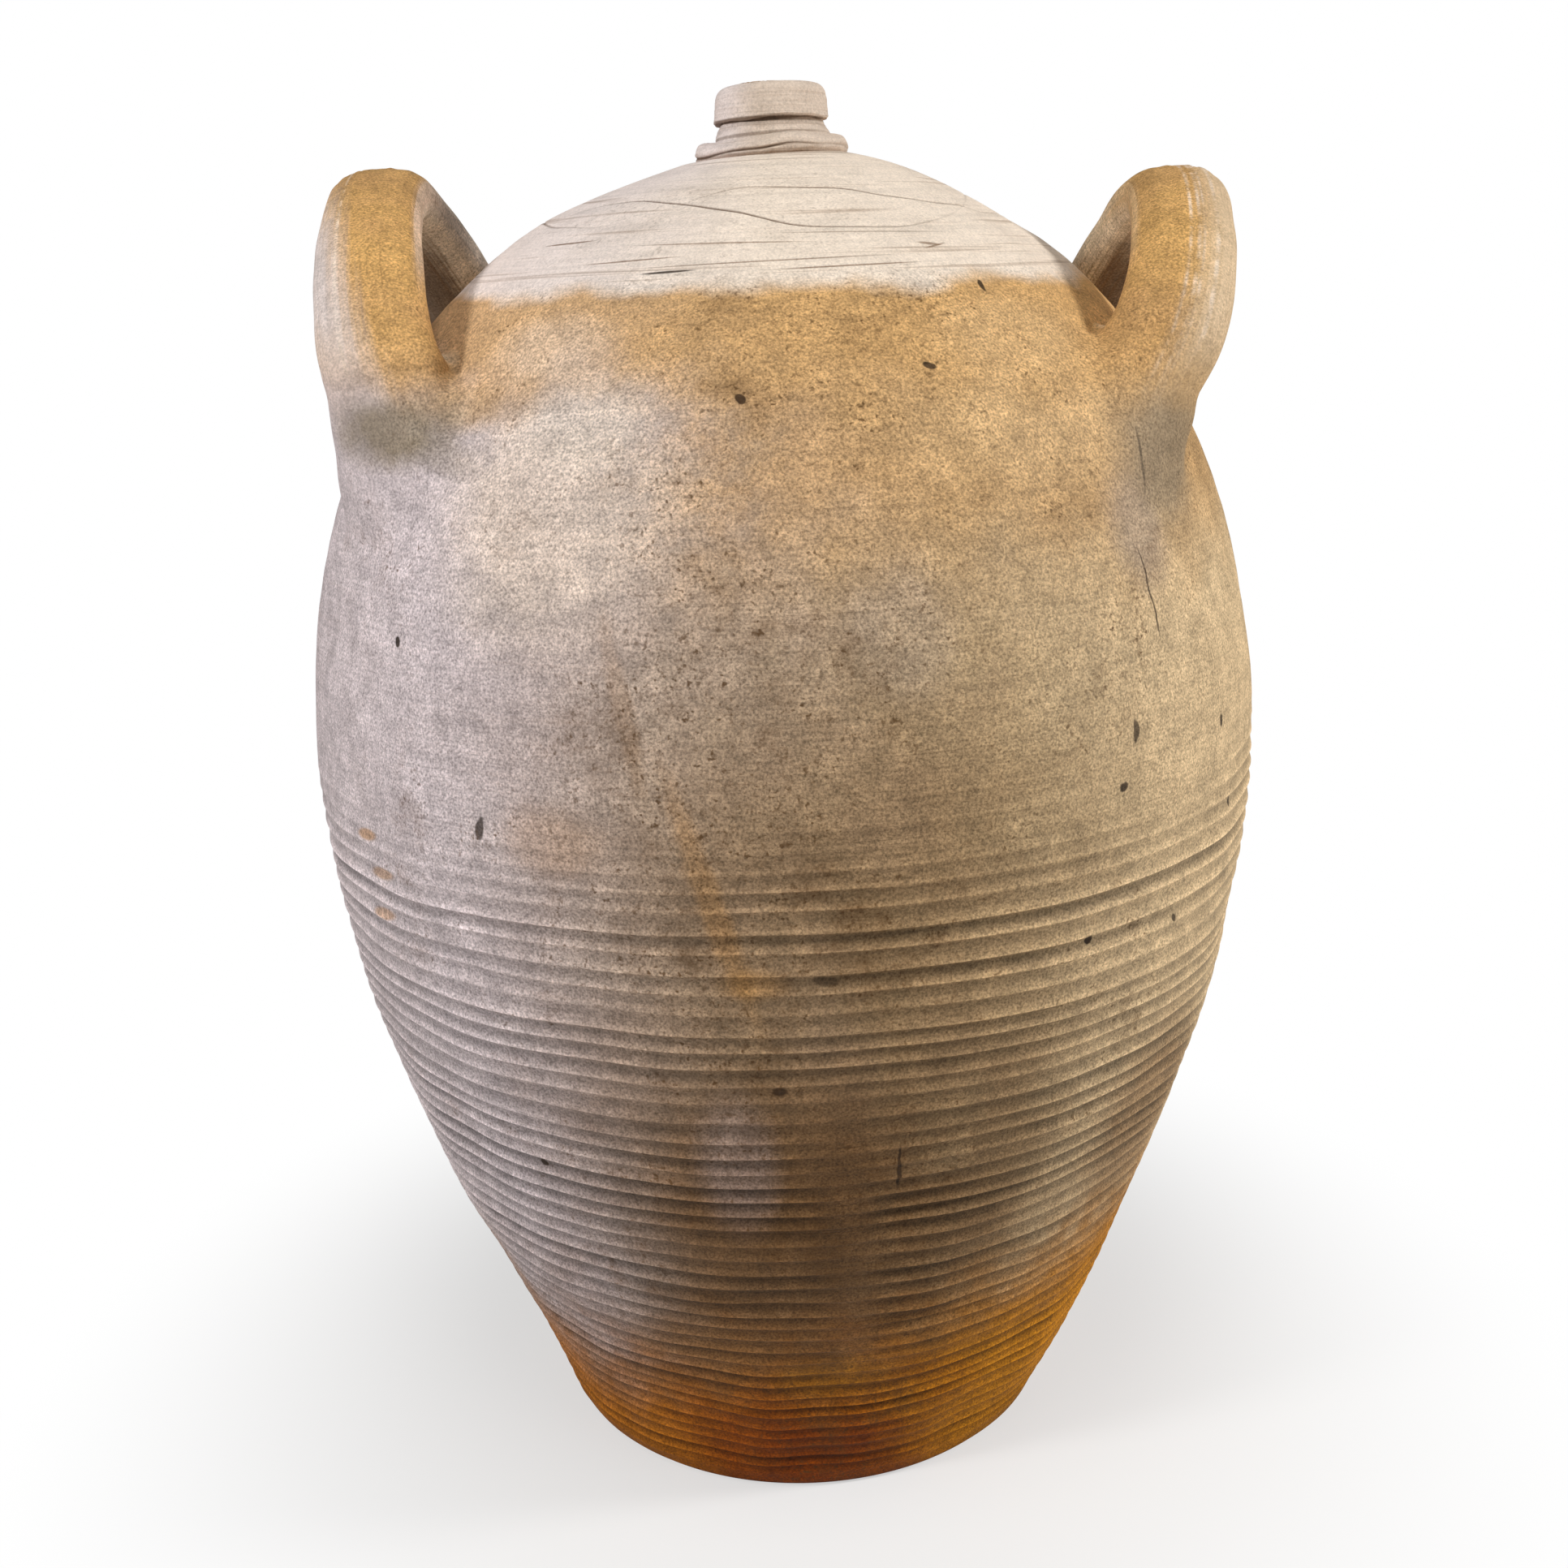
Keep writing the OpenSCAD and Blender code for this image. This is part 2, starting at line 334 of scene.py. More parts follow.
class Outline:
    """The body's plain outline, measured along its surface from the foot's edge to the neck's seat."""

    def __init__(self, sizes: BodySizes) -> None:
        """Draws the two curves that meet at the belly."""
        s, t = sizes, np.linspace(0, 1, 700)
        lean, slope = math.radians(s.foot_lean), math.radians(s.crown_slope)
        rise = s.seat_z - s.belly_z
        low = bezier([
            (s.foot_r, 0),
            (s.foot_r + s.foot_pull * s.belly_z * math.sin(lean), s.foot_pull * s.belly_z * math.cos(lean)),
            (s.belly_r, s.belly_z * (1 - s.low_pull)),
            (s.belly_r, s.belly_z)], t)
        high = bezier([
            (s.belly_r, s.belly_z),
            (s.belly_r, s.belly_z + s.high_pull * rise),
            (s.seat_r + s.crown_pull * math.cos(slope), s.seat_z - s.crown_pull * math.sin(slope)),
            (s.seat_r, s.seat_z)], t)
        self.points = np.vstack([low, high[1:]])
        steps = np.linalg.norm(np.diff(self.points, axis=0), axis=1)
        self.along = np.concatenate([[0], np.cumsum(steps)])
        tangent = unit(np.gradient(self.points, self.along, axis=0))
        self.normals = np.column_stack([tangent[:, 1], -tangent[:, 0]])

    def place(self, along: np.ndarray) -> np.ndarray:
        """Radius and height, one row for each place along the outline."""
        return np.column_stack([np.interp(along, self.along, self.points[:, k]) for k in (0, 1)])

    def normal(self, along: np.ndarray) -> np.ndarray:
        """The outward direction in radius and height, one row for each place."""
        return unit(np.column_stack([np.interp(along, self.along, self.normals[:, k]) for k in (0, 1)]))

    def at_height(self, height: np.ndarray) -> np.ndarray:
        """The place along the outline at each height."""
        return np.interp(height, self.points[:, 1], self.along)


@dataclass(frozen=True)
class FingerRidges:
    """The ridges that the potter's fingers leave between one turn of the wheel and the next.

    Attributes:
        pitch: Mean distance from crest to crest.
        jitter: How much the distance varies, as a share.
        depth: Depth of a groove between two crests.
        low: Where the first crest is, along the outline.
        full: Where the ridges start to fade, along the outline.
        high: Where they are gone, along the outline.
        lift: How gently a groove's face rises to the crest below it.
        drop: How gently it rises to the crest above it, which casts a shadow where this is small.
    """

    pitch: float = 7.7 * MM
    jitter: float = 0.15
    depth: float = 1.05 * MM
    low: float = 9 * MM
    full: float = 285 * MM
    high: float = 345 * MM
    lift: float = 1.15
    drop: float = 0.62

    def crests(self) -> np.ndarray:
        """Where the crests are, along the outline."""
        rng = np.random.default_rng(11)
        count = math.ceil((self.high - self.low) / self.pitch)
        return self.low + np.concatenate([[0], np.cumsum(self.pitch * (1 + rng.uniform(-1, 1, count) * self.jitter))])

    def hollow(self, along: np.ndarray) -> np.ndarray:
        """How deep the groove is at each place, from 0 on a crest to 1 midway between two."""
        crests = self.crests()
        k = np.clip(np.searchsorted(crests, along, side="right") - 1, 0, len(crests) - 2)
        share = np.clip((along - crests[k]) / (crests[k + 1] - crests[k]), 0, 1)
        hollow = share ** self.lift * (1 - share) ** self.drop
        deepest = self.lift / (self.lift + self.drop)
        hollow *= np.random.default_rng(12).uniform(0.7, 1.15, len(crests))[k]
        hollow /= deepest ** self.lift * (1 - deepest) ** self.drop
        return np.where((along > crests[0]) & (along < crests[-1]), hollow, 0)

    def strength(self, along: np.ndarray) -> np.ndarray:
        """How marked the ridges are at each place, from 0 to 1."""
        return smooth(along, self.low - 4 * MM, self.low + 8 * MM) * smooth(along, self.high, self.full)


@dataclass(frozen=True)
class IncisedWave:
    """A wavy line drawn round the crown with a point while the clay was damp.

    Attributes:
        middle: Mean height of the line.
        swing: How far it swings above and below.
        crest_turn: Turn of a crest from the front, in degrees.
        fall: Share of a wave in which the line falls.
        firm: Turn from the front where the point was pressed hardest, in degrees.
        waves: How many waves go round.
        depth: Depth of the cut.
        breadth: Half the breadth of the cut.
    """

    middle: float
    swing: float
    crest_turn: float
    fall: float
    firm: float
    waves: int = 3
    depth: float = 0.7 * MM
    breadth: float = 0.55 * MM

    def height(self, turn: np.ndarray) -> np.ndarray:
        """Height of the line at each turn, in radians."""
        wave = (self.waves * (turn - math.radians(self.crest_turn)) / TAU) % 1
        rising = 1 + (wave - self.fall) / (1 - self.fall)
        return self.middle + self.swing * np.cos(math.pi * np.where(wave < self.fall, wave / self.fall, rising))

    def cut(self, turn: np.ndarray, along: np.ndarray, outline: Outline) -> np.ndarray:
        """How deep the cut is at each place, from 0 to 1."""
        pressed = 0.25 + 0.75 * (0.5 + 0.5 * np.cos(self.waves * (turn - math.radians(self.firm)))) ** 0.8
        return pressed * bell(along - outline.at_height(self.height(turn)), self.breadth)


@dataclass(frozen=True)
class Dent:
    """A shallow dent, or a bump where the depth is negative, with its middle at a turn and a height."""

    turn: float
    height: float
    wide: float
    high: float
    depth: float


class ThrownSurface:
    """The jar's outer face as the hand left it: the plain outline with ridges, lumps, lines and dents."""

    RIDGES = FingerRidges()
    WAVES = (
        IncisedWave(middle=519.7 * MM, swing=6.7 * MM, crest_turn=-38, fall=0.5, firm=-8),
        IncisedWave(middle=523.2 * MM, swing=5.9 * MM, crest_turn=-3, fall=0.69, firm=26),
    )
    DENTS = (
        Dent(-37.9, 262 * MM, 24 * MM, 9 * MM, 1.2 * MM),
        Dent(-36.5, 271 * MM, 17 * MM, 6 * MM, -0.8 * MM),
        Dent(-17.8, 124 * MM, 26 * MM, 9 * MM, -0.9 * MM),
        Dent(-6.0, 119 * MM, 15 * MM, 5 * MM, 0.7 * MM),
        Dent(17.0, 112 * MM, 20 * MM, 7 * MM, -1.1 * MM),
        Dent(19.0, 104 * MM, 16 * MM, 5 * MM, 0.8 * MM),
        Dent(-9.6, 212 * MM, 14 * MM, 5 * MM, 0.9 * MM),
        Dent(8.0, 321 * MM, 26 * MM, 4 * MM, -0.6 * MM),
        Dent(13.5, 316 * MM, 18 * MM, 4 * MM, 0.6 * MM),
        Dent(-24.0, 425 * MM, 30 * MM, 22 * MM, 0.9 * MM),
        Dent(95.0, 300 * MM, 34 * MM, 22 * MM, 0.8 * MM),
        Dent(150.0, 205 * MM, 26 * MM, 8 * MM, -0.9 * MM),
        Dent(-140.0, 340 * MM, 40 * MM, 26 * MM, 1.0 * MM),
    )
    WORN_TURN = 4.5
    WORN_BREADTH = 4.2
    CROWN_TILT = 0.045

    def __init__(self, sizes: BodySizes) -> None:
        """Draws the outline and sets out the unevenness."""
        self.sizes = sizes
        self.outline = Outline(sizes)
        self.lumps = Unevenness(75 * MM, seed=3)
        self.touches = Unevenness(24 * MM, seed=5, stretch=2.2)
        self.pressure = Unevenness(38 * MM, seed=7, stretch=3.0)
        self.wander = Unevenness(60 * MM, seed=9, stretch=3.5)

    def lean(self, height: np.ndarray) -> np.ndarray:
        """How far the wall stands to the right of the axis at each height."""
        return 1.1 * MM * smooth(height, 0, 40 * MM) + 2.3 * MM * bell(height - 52 * MM, 42 * MM)

    def tilt(self, x: np.ndarray, radius: np.ndarray) -> np.ndarray:
        """How far the crown rises towards the right, under the neck."""
        return self.CROWN_TILT * x * smooth(radius, 95 * MM, 36 * MM)

    def worn(self, turn: np.ndarray, height: np.ndarray) -> np.ndarray:
        """How much of the ridges a worn streak leaves at each place."""
        streak = bell(np.degrees(turn) - self.WORN_TURN - 20 * (0.2 - height), self.WORN_BREADTH)
        return 1 - 0.8 * streak * smooth(height, 232 * MM, 205 * MM) * smooth(height, 60 * MM, 95 * MM)

    def ridge_depth(self, turn: np.ndarray, along: np.ndarray) -> np.ndarray:
        """Depth of the finger grooves at each place."""
        height = self.outline.place(along)[:, 1]
        press = np.clip(0.9 + 0.16 * self.pressure.at(turn, along), 0.3, 1.3)
        marked = self.RIDGES.strength(along + 14 * MM * self.wander.at(turn * 2, along / 4) * smooth(along, 0.2, 0.3))
        firmer = 1 + 0.5 * smooth(along, 250 * MM, 120 * MM)
        return self.RIDGES.depth * press * marked * firmer * self.worn(turn, height)

    def scars(self, turn: np.ndarray, along: np.ndarray) -> np.ndarray:
        """Height of dents and bumps above the surface."""
        place, total = self.outline.place(along), np.zeros(len(along))
        for dent in self.DENTS:
            off = np.angle(np.exp(1j * (turn - math.radians(dent.turn)))) * place[:, 0]
            rise = along - self.outline.at_height(dent.height)
            total -= dent.depth * bell(off, dent.wide) * bell(rise, dent.high)
        return total

    def incised(self, turn: np.ndarray, along: np.ndarray) -> np.ndarray:
        """How deep the wavy lines are cut at each place, from 0 to 1."""
        return np.max([wave.cut(turn, along, self.outline) for wave in self.WAVES], axis=0)

    def clear_of_neck(self, along: np.ndarray) -> np.ndarray:
        """How much of the unevenness is left towards the neck, where each turn's waves crowd together."""
        return smooth(self.outline.place(along)[:, 0], 32 * MM, 130 * MM)

    def relief(self, turn: np.ndarray, along: np.ndarray) -> np.ndarray:
        """Height of lumps and scars above the plain outline, without ridges and lines."""
        calm = smooth(along, 0, 12 * MM) * self.clear_of_neck(along)
        rings = 0.05 * MM * np.sin(TAU * along / (13 * MM) + 0.8 * self.wander.at(turn, along))
        uneven = 0.5 * MM * self.lumps.at(turn, along) + 0.11 * MM * self.touches.at(turn, along)
        return calm * (uneven + rings * smooth(along, 0.33, 0.42)) + self.scars(turn, along)

    def points(self, turn: np.ndarray, along: np.ndarray) -> np.ndarray:
        """Places on the finished face.

        Args:
            turn: Turn of each point about the axis from the front, in radians.
            along: Its place along the plain outline.

        Returns:
            One point in each row.
        """
        slide = 0.9 * MM * self.wander.at(turn, along) * smooth(along, 6 * MM, 30 * MM)
        slid = along + slide * smooth(along, 0.6, 0.5) * self.clear_of_neck(along)
        height = -self.ridge_depth(turn, along) * self.RIDGES.hollow(along) + self.relief(turn, along)
        height -= self.WAVES[0].depth * self.incised(turn, slid)
        place = self.outline.place(slid) + self.outline.normal(slid) * height[:, None]
        x = place[:, 0] * np.sin(turn) + self.lean(place[:, 1])
        y = -place[:, 0] * np.cos(turn)
        return np.column_stack([x, y, place[:, 1] + self.tilt(x, place[:, 0])])

    def outside(self, points: np.ndarray) -> np.ndarray:
        """How far each point lies outside the face, measured level, and negative inside it.

        Args:
            points: Points beside the shoulder, with any shape and three numbers in the last axis.
        """
        x, y, z = (points[..., k].ravel() for k in range(3))
        x = x - self.lean(z)
        turn, along = np.arctan2(x, -y), self.outline.at_height(z)
        face = self.outline.place(along)[:, 0] + self.relief(turn, along) / self.outline.normal(along)[:, 0]
        return (np.hypot(x, y) - face).reshape(points.shape[:-1])

    def onto(self, points: np.ndarray) -> np.ndarray:
        """The points moved level onto the face."""
        x = points[:, 0] - self.lean(points[:, 2])
        radius = np.maximum(np.hypot(x, points[:, 1]), 1e-9)
        share = 1 - self.outside(points) / radius
        return np.column_stack([x * share + self.lean(points[:, 2]), points[:, 1] * share, points[:, 2]])

    def outward(self, points: np.ndarray) -> np.ndarray:
        """The plain outline's outward direction beside each point."""
        normal = self.outline.normal(self.outline.at_height(points[:, 2]))
        turn = np.arctan2(points[:, 0], -points[:, 1])
        return np.column_stack([normal[:, 0] * np.sin(turn), -normal[:, 0] * np.cos(turn), normal[:, 1]])


@dataclass(frozen=True)
class ThrownBody:
    """The floor and the three thrown walls.

    Attributes:
        steps: How many steps go round each wall.
        row: Distance between rows where the ridges are.
        plain_row: Distance between rows on the smooth shoulder.
        fine_row: Distance between rows where the wavy lines are cut.
        inner_rows: How many rows the inner face has.
    """

    surface: ThrownSurface
    steps: int = 440
    row: float = 0.86 * MM
    plain_row: float = 2.45 * MM
    fine_row: float = 0.62 * MM
    inner_rows: int = 11
    fine_low_z: float = 510.5 * MM
    fine_high_z: float = 530.5 * MM
    bore_r: float = 12.5 * MM
    neck_shift: float = 4 * MM

    def stations(self, start: float, end: float, row: float) -> np.ndarray:
        """Where the rows go between two places along the outline, with one on each crest.

        Args:
            start: The first row.
            end: The last row.
            row: Largest distance between two rows.
        """
        crests = self.surface.RIDGES.crests()
        stops = [start, *[c for c in crests if start + row / 2 < c < end - row / 2], end]
        parts = [np.linspace(a, b, max(1, math.ceil((b - a) / row)), endpoint=False) for a, b in zip(stops, stops[1:])]
        return np.concatenate([*parts, [end]])

    def wall_outline(self, outer: np.ndarray, extra: list) -> np.ndarray:
        """Corners of a wall's section, up its outer face and down its inner face.

        Args:
            outer: The rows of the outer face, along the outline.
            extra: Corners that close the top, from the outer face to the inner one.
        """
        outline, wall = self.surface.outline, self.surface.sizes.wall
        back = np.linspace(outer[-1], outer[0], self.inner_rows)
        inner = outline.place(back) - outline.normal(back) * wall
        low_z, high_z = outline.place(outer[[0, -1]])[:, 1]
        inner[0, 1], inner[-1, 1] = high_z, low_z
        rows = [outline.place(outer), *([np.array(extra)] if extra else []), inner[1:] if extra else inner]
        return np.vstack(rows)

    def pressed(self, piece: bpy.types.Object) -> bpy.types.Object:
        """Gives a turned wall its ridges, lumps and lines, and marks them for the finish."""
        surface, co = self.surface, Bench.places(piece)
        radius, turn = np.hypot(co[:, 0], co[:, 1]), np.arctan2(co[:, 0], -co[:, 1])
        along = surface.outline.at_height(co[:, 2])
        face = surface.outline.place(along)[:, 0]
        seat_r = surface.sizes.seat_r
        outer = (np.abs(radius - face) < 0.03 * MM) & (radius > seat_r - 0.03 * MM)
        co[~outer, 0] += surface.lean(co[~outer, 2])
        co[~outer, 2] += surface.tilt(co[~outer, 0], radius[~outer]) * smooth(co[~outer, 2], 0.5, 0.52)
        co[~outer, 0] += self.neck_shift * smooth(radius[~outer], seat_r, 20 * MM) * (co[~outer, 2] > 0.5)
        co[outer] = surface.points(turn[outer], along[outer])
        ridge, groove = np.zeros(len(co)), np.zeros(len(co))
        depth = surface.ridge_depth(turn[outer], along[outer]) / surface.RIDGES.depth
        ridge[outer] = depth * (1 - 2 * surface.RIDGES.hollow(along[outer]))
        groove[outer] = surface.incised(turn[outer], along[outer])
        Bench.put(piece, co)
        Bench.mark(piece, "ridge", ridge)
        Bench.mark(piece, "groove", groove)
        return Bench.finished(piece)

    def base_slab(self) -> bpy.types.Object:
        """The floor disc, with the foot's rounded edge."""
        s, outline = self.surface.sizes, self.surface.outline
        a = np.linspace(-90, 0, 7)[:-1] * math.pi / 180
        edge = np.column_stack([
            s.foot_r - s.foot_round + s.foot_round * np.cos(a),
            s.foot_round + s.foot_round * np.sin(a)])
        side = outline.place(self.stations(
            float(outline.at_height(s.foot_round)), float(outline.at_height(s.floor_z)), self.row))
        flat = np.array([[0, 0], [s.foot_r * 0.4, 0], [s.foot_r * 0.8, 0]])
        top = np.array([[s.foot_r * 0.8, s.floor_z], [s.foot_r * 0.4, s.floor_z], [0, s.floor_z]])
        return self.pressed(Bench.turned(
            "floor_disc", np.vstack([flat, edge, side, top]), self.steps, closed=False))

    def wall_between(self, name: str, low_z: float, high_z: float) -> bpy.types.Object:
        """A thrown wall between two heights."""
        low, high = self.surface.outline.at_height(np.array([low_z, high_z]))
        outline = self.wall_outline(self.stations(low, high, self.row), [])
        return self.pressed(Bench.turned(name, outline, self.steps))

    def dome(self) -> bpy.types.Object:
        """The closed shoulder and crown, with the bore under the neck and close rows for the wavy lines."""
        s, at_height = self.surface.sizes, self.surface.outline.at_height
        stops = at_height(np.array([s.high_join_z, self.fine_low_z, self.fine_high_z, s.seat_z]))
        rows = (self.plain_row, self.fine_row, self.plain_row)
        outer = np.concatenate([[stops[0]], *[
            self.stations(a, b, row)[1:] for a, b, row in zip(stops, stops[1:], rows)]])
        under = s.seat_z - s.wall
        extra = [(24 * MM, s.seat_z), (self.bore_r, s.seat_z), (self.bore_r, under), (24 * MM, under)]
        return self.pressed(Bench.turned("crown_and_shoulder", self.wall_outline(outer, extra), self.steps))

    def build(self) -> dict[str, bpy.types.Object]:
        """Makes the four pieces.

        Returns:
            Each piece by the node that it stands for.
        """
        s = self.surface.sizes
        return {
            "base_slab": self.base_slab(),
            "lower_wall": self.wall_between("first_throwing", s.floor_z, s.low_join_z),
            "belly_wall": self.wall_between("second_throwing", s.low_join_z, s.high_join_z),
            "shoulder_dome": self.dome(),
        }


@dataclass(frozen=True)
class BottleNeck:
    """The luted collar, the short neck and the thick lip, all turned about the neck's own axis.

    Attributes:
        shift: How far the neck's axis is to the right of the jar's.
        lip_tilt: Slope of the lip towards the right.
    """

    surface: ThrownSurface
    steps: int = 288
    shift: float = 4 * MM
    bore_r: float = 12.5 * MM
    neck_r: float = 21.3 * MM
    neck_foot_r: float = 22.8 * MM
    collar_r: float = 30.5 * MM
    collar_h: float = 8 * MM
    neck_h: float = 15 * MM
    lip_r: float = 23.1 * MM
    lip_h: float = 13 * MM
    lip_round: float = 4.5 * MM
    mouth_round: float = 1.2 * MM
    lip_tilt: float = 0.018
    sunk: float = 0.6 * MM

    @property
    def seat(self) -> float:
        """Height of the neck's seat."""
        return self.surface.sizes.seat_z

    def set_on_seat(self, piece: bpy.types.Object, slope: float) -> bpy.types.Object:
        """Moves a turned ring from the Z axis to its seat, with a slope to the right."""
        co = Bench.places(piece)
        co[:, 2] += self.seat + slope * co[:, 0]
        co[:, 0] += self.shift + self.surface.lean(np.array([self.seat]))[0]
        Bench.put(piece, co)
        return Bench.finished(piece)

    @staticmethod
    def arc(middle: tuple, radius: float, start: float, end: float, count: int = 9) -> np.ndarray:
        """Points of a round corner from one angle to another, in degrees."""
        a = np.radians(np.linspace(start, end, count))
        return np.array(middle) + radius * np.column_stack([np.cos(a), np.sin(a)])

    def closed_rows(self, corners: np.ndarray, row: float) -> np.ndarray:
        """A closed outline with rows no further apart than given, through all its corners."""
        parts = []
        for a, b in zip(corners, np.roll(corners, -1, axis=0)):
            count = max(1, math.ceil(np.linalg.norm(b - a) / row))
            parts.append(a + (b - a) * np.arange(count)[:, None] / count)
        return np.vstack(parts)

    def collar(self) -> bpy.types.Object:
        """The coil of clay pressed round the neck's foot, uneven and cracked along its lower edge."""
        bead = self.collar_h * 0.42
        corners = np.vstack([
            [(self.neck_r - MM, -self.sunk), (self.collar_r - bead * 0.5, -self.sunk)],
            self.arc((self.collar_r - bead, bead * 0.95), bead, -60, 80, 14),
            [(self.neck_foot_r + MM, self.collar_h * 0.98), (self.neck_r - MM, self.collar_h)]])
        piece = Bench.turned("luted_collar", self.closed_rows(corners, 0.5 * MM), self.steps)
        co = Bench.places(piece)
        radius, turn = np.hypot(co[:, 0], co[:, 1]), np.arctan2(co[:, 0], -co[:, 1])
        out = smooth(radius, self.neck_foot_r - MM, self.collar_r - 3 * MM)
        waves = Unevenness(13 * MM, seed=21, radius=28 * MM)
        fine = Unevenness(3.2 * MM, seed=22, radius=28 * MM, stretch=2.5)
        crack_z = self.collar_h * (0.36 + 0.07 * np.sin(2 * turn + 1) + 0.03 * np.sin(7 * turn))
        crack = bell(co[:, 2] - crack_z, 0.5 * MM) * (0.35 + 0.65 * smooth(np.cos(turn + 0.75), 0.1, 0.8))
        grow = out * (0.55 * MM * waves.at(turn, 0 * turn) + 0.16 * MM * fine.at(turn, co[:, 2]) - 0.9 * MM * crack)
        new_radius = radius + grow
        lift = out * smooth(co[:, 2], 0, self.collar_h) * 0.6 * MM * waves.at(turn + 2, 0 * turn)
        lap = 1.5 * MM * bell(np.degrees(turn) - 18, 22) * smooth(co[:, 2], 0.5 * self.collar_h, self.collar_h)
        co[:, 0], co[:, 1] = new_radius * np.sin(turn), -new_radius * np.cos(turn)
        co[:, 2] += lift + lap
        Bench.put(piece, co)
        Bench.mark(piece, "groove", np.clip(out * crack, 0, 1) * 0.8)
        return self.set_on_seat(piece, self.surface.CROWN_TILT)

    def neck(self) -> bpy.types.Object:
        """The neck, waisted under the lip and wiped with a sloping finger."""
        corners = np.array([
            (self.bore_r, 0), (self.neck_foot_r, 0), (self.neck_foot_r, self.collar_h - MM),
            (self.neck_r + 0.5 * MM, self.neck_h - 4 * MM), (self.neck_r - 0.6 * MM, self.neck_h - MM),
            (self.neck_r - 0.8 * MM, self.neck_h + 0.4 * MM), (self.bore_r, self.neck_h + 0.4 * MM)])
        piece = Bench.turned("bottle_neck", self.closed_rows(corners, 0.6 * MM), self.steps)
        co = Bench.places(piece)
        radius, turn = np.hypot(co[:, 0], co[:, 1]), np.arctan2(co[:, 0], -co[:, 1])
        out = smooth(radius, self.bore_r + 2 * MM, self.neck_r - 2 * MM)
        wiped = Unevenness(5 * MM, seed=25, radius=22 * MM, stretch=3)
        fine = Unevenness(2 * MM, seed=26, radius=22 * MM, stretch=3)
        grow = out * (0.28 * MM * wiped.at(turn, co[:, 2] - 3 * MM * turn) + 0.09 * MM * fine.at(turn, co[:, 2]))
        flare = out * 1.6 * MM * smooth(np.sin(turn), 0.2, 0.9) * smooth(co[:, 2], self.neck_h - 2 * MM, self.collar_h)
        new_radius = radius + grow + flare
        co[:, 0], co[:, 1] = new_radius * np.sin(turn), -new_radius * np.cos(turn)
        Bench.put(piece, co)
        return self.set_on_seat(piece, self.lip_tilt)

    def lip(self) -> bpy.types.Object:
        """The thick lip, rounded on top and cut sharply underneath."""
        top = self.neck_h + self.lip_h
        batter = 0.9 * MM
        corners = np.vstack([
            [(self.bore_r, self.neck_h), (self.neck_r - 1.6 * MM, self.neck_h),
             (self.lip_r - 0.5 * MM, self.neck_h - 0.3 * MM), (self.lip_r + 0.1 * MM, self.neck_h + 0.5 * MM)],
            self.arc((self.lip_r - batter - self.lip_round, top - self.lip_round), self.lip_round, 0, 90, 14),
            self.arc((self.bore_r + self.mouth_round, top - self.mouth_round), self.mouth_round, 90, 180, 6)])
        piece = Bench.turned("thick_lip", self.closed_rows(corners, 0.6 * MM), self.steps)
        co = Bench.places(piece)
        radius, turn = np.hypot(co[:, 0], co[:, 1]), np.arctan2(co[:, 0], -co[:, 1])
        out = smooth(radius, self.bore_r + 1.5 * MM, self.neck_r - MM)
        round_off = Unevenness(16 * MM, seed=31, radius=23 * MM)
        wiped = Unevenness(3 * MM, seed=32, radius=23 * MM, stretch=4)
        grow = out * (0.24 * MM * round_off.at(turn, co[:, 2]) + 0.07 * MM * wiped.at(turn, co[:, 2]))
        new_radius = radius + grow
        co[:, 0], co[:, 1] = new_radius * np.sin(turn), -new_radius * np.cos(turn)
        co[:, 2] += out * 0.3 * MM * round_off.at(turn + 1, 0 * turn) * smooth(co[:, 2], top, self.neck_h)
        Bench.put(piece, co)
        return self.set_on_seat(piece, self.lip_tilt)

    def build(self) -> dict[str, bpy.types.Object]:
        """Makes the three rings.

        Returns:
            Each piece by the node that it stands for.
        """
        return {"neck_collar": self.collar(), "neck": self.neck(), "lip_ring": self.lip()}


@dataclass(frozen=True)
class Cork:
    """The tapered cork in the mouth, cut from bark and worn at its top edge."""

    steps: int = 144
    top_r: float = 12.44 * MM
    taper: float = 0.8 * MM
    chamfer: float = 0.6 * MM
    shift: float = 4 * MM

    def build(self) -> dict[str, bpy.types.Object]:
        """Makes the cork.

        Returns:
            The piece by the node that it stands for.
        """
        low, high = (corner.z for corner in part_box("cork_stopper"))
        corners = [(0, low), (self.top_r - self.taper - self.chamfer, low)]
        heights = np.linspace(low + self.chamfer, high - self.chamfer, 40)
        share = np.clip((heights - low) / (high - low - 3 * self.chamfer), 0, 1)
        side = np.column_stack([self.top_r - self.taper * (1 - share), heights])
        rim = np.array([(self.top_r - self.chamfer * 0.3, high - self.chamfer * 0.3),
                        (self.top_r - self.chamfer, high)])
        top = np.column_stack([np.linspace(self.top_r - 2 * self.chamfer, 0, 12), np.full(12, high)])
        piece = Bench.turned("bark_cork", np.vstack([corners, side, rim, top]), self.steps, closed=False)
        co = Bench.places(piece)
        radius, turn = np.hypot(co[:, 0], co[:, 1]), np.arctan2(co[:, 0], -co[:, 1])
        pores = Unevenness(2.2 * MM, seed=41, radius=12 * MM, stretch=2)
        sunk = 0.16 * MM * smooth(pores.at(turn, co[:, 2]), 0.6, 1.6) * smooth(radius, 6 * MM, 11 * MM)
        dimple = 0.12 * MM * smooth(pores.at(3 * turn, radius), 0.8, 1.8) * (co[:, 2] > high - 0.1 * MM)
        shrink = 1 - sunk / np.maximum(radius, MM)
        co[:, 0], co[:, 1] = co[:, 0] * shrink + self.shift, co[:, 1] * shrink
        co[:, 2] -= dimple * smooth(radius, 0, 2 * MM)
        Bench.put(piece, co)
        return {"cork_stopper": Bench.finished(piece, 35)}


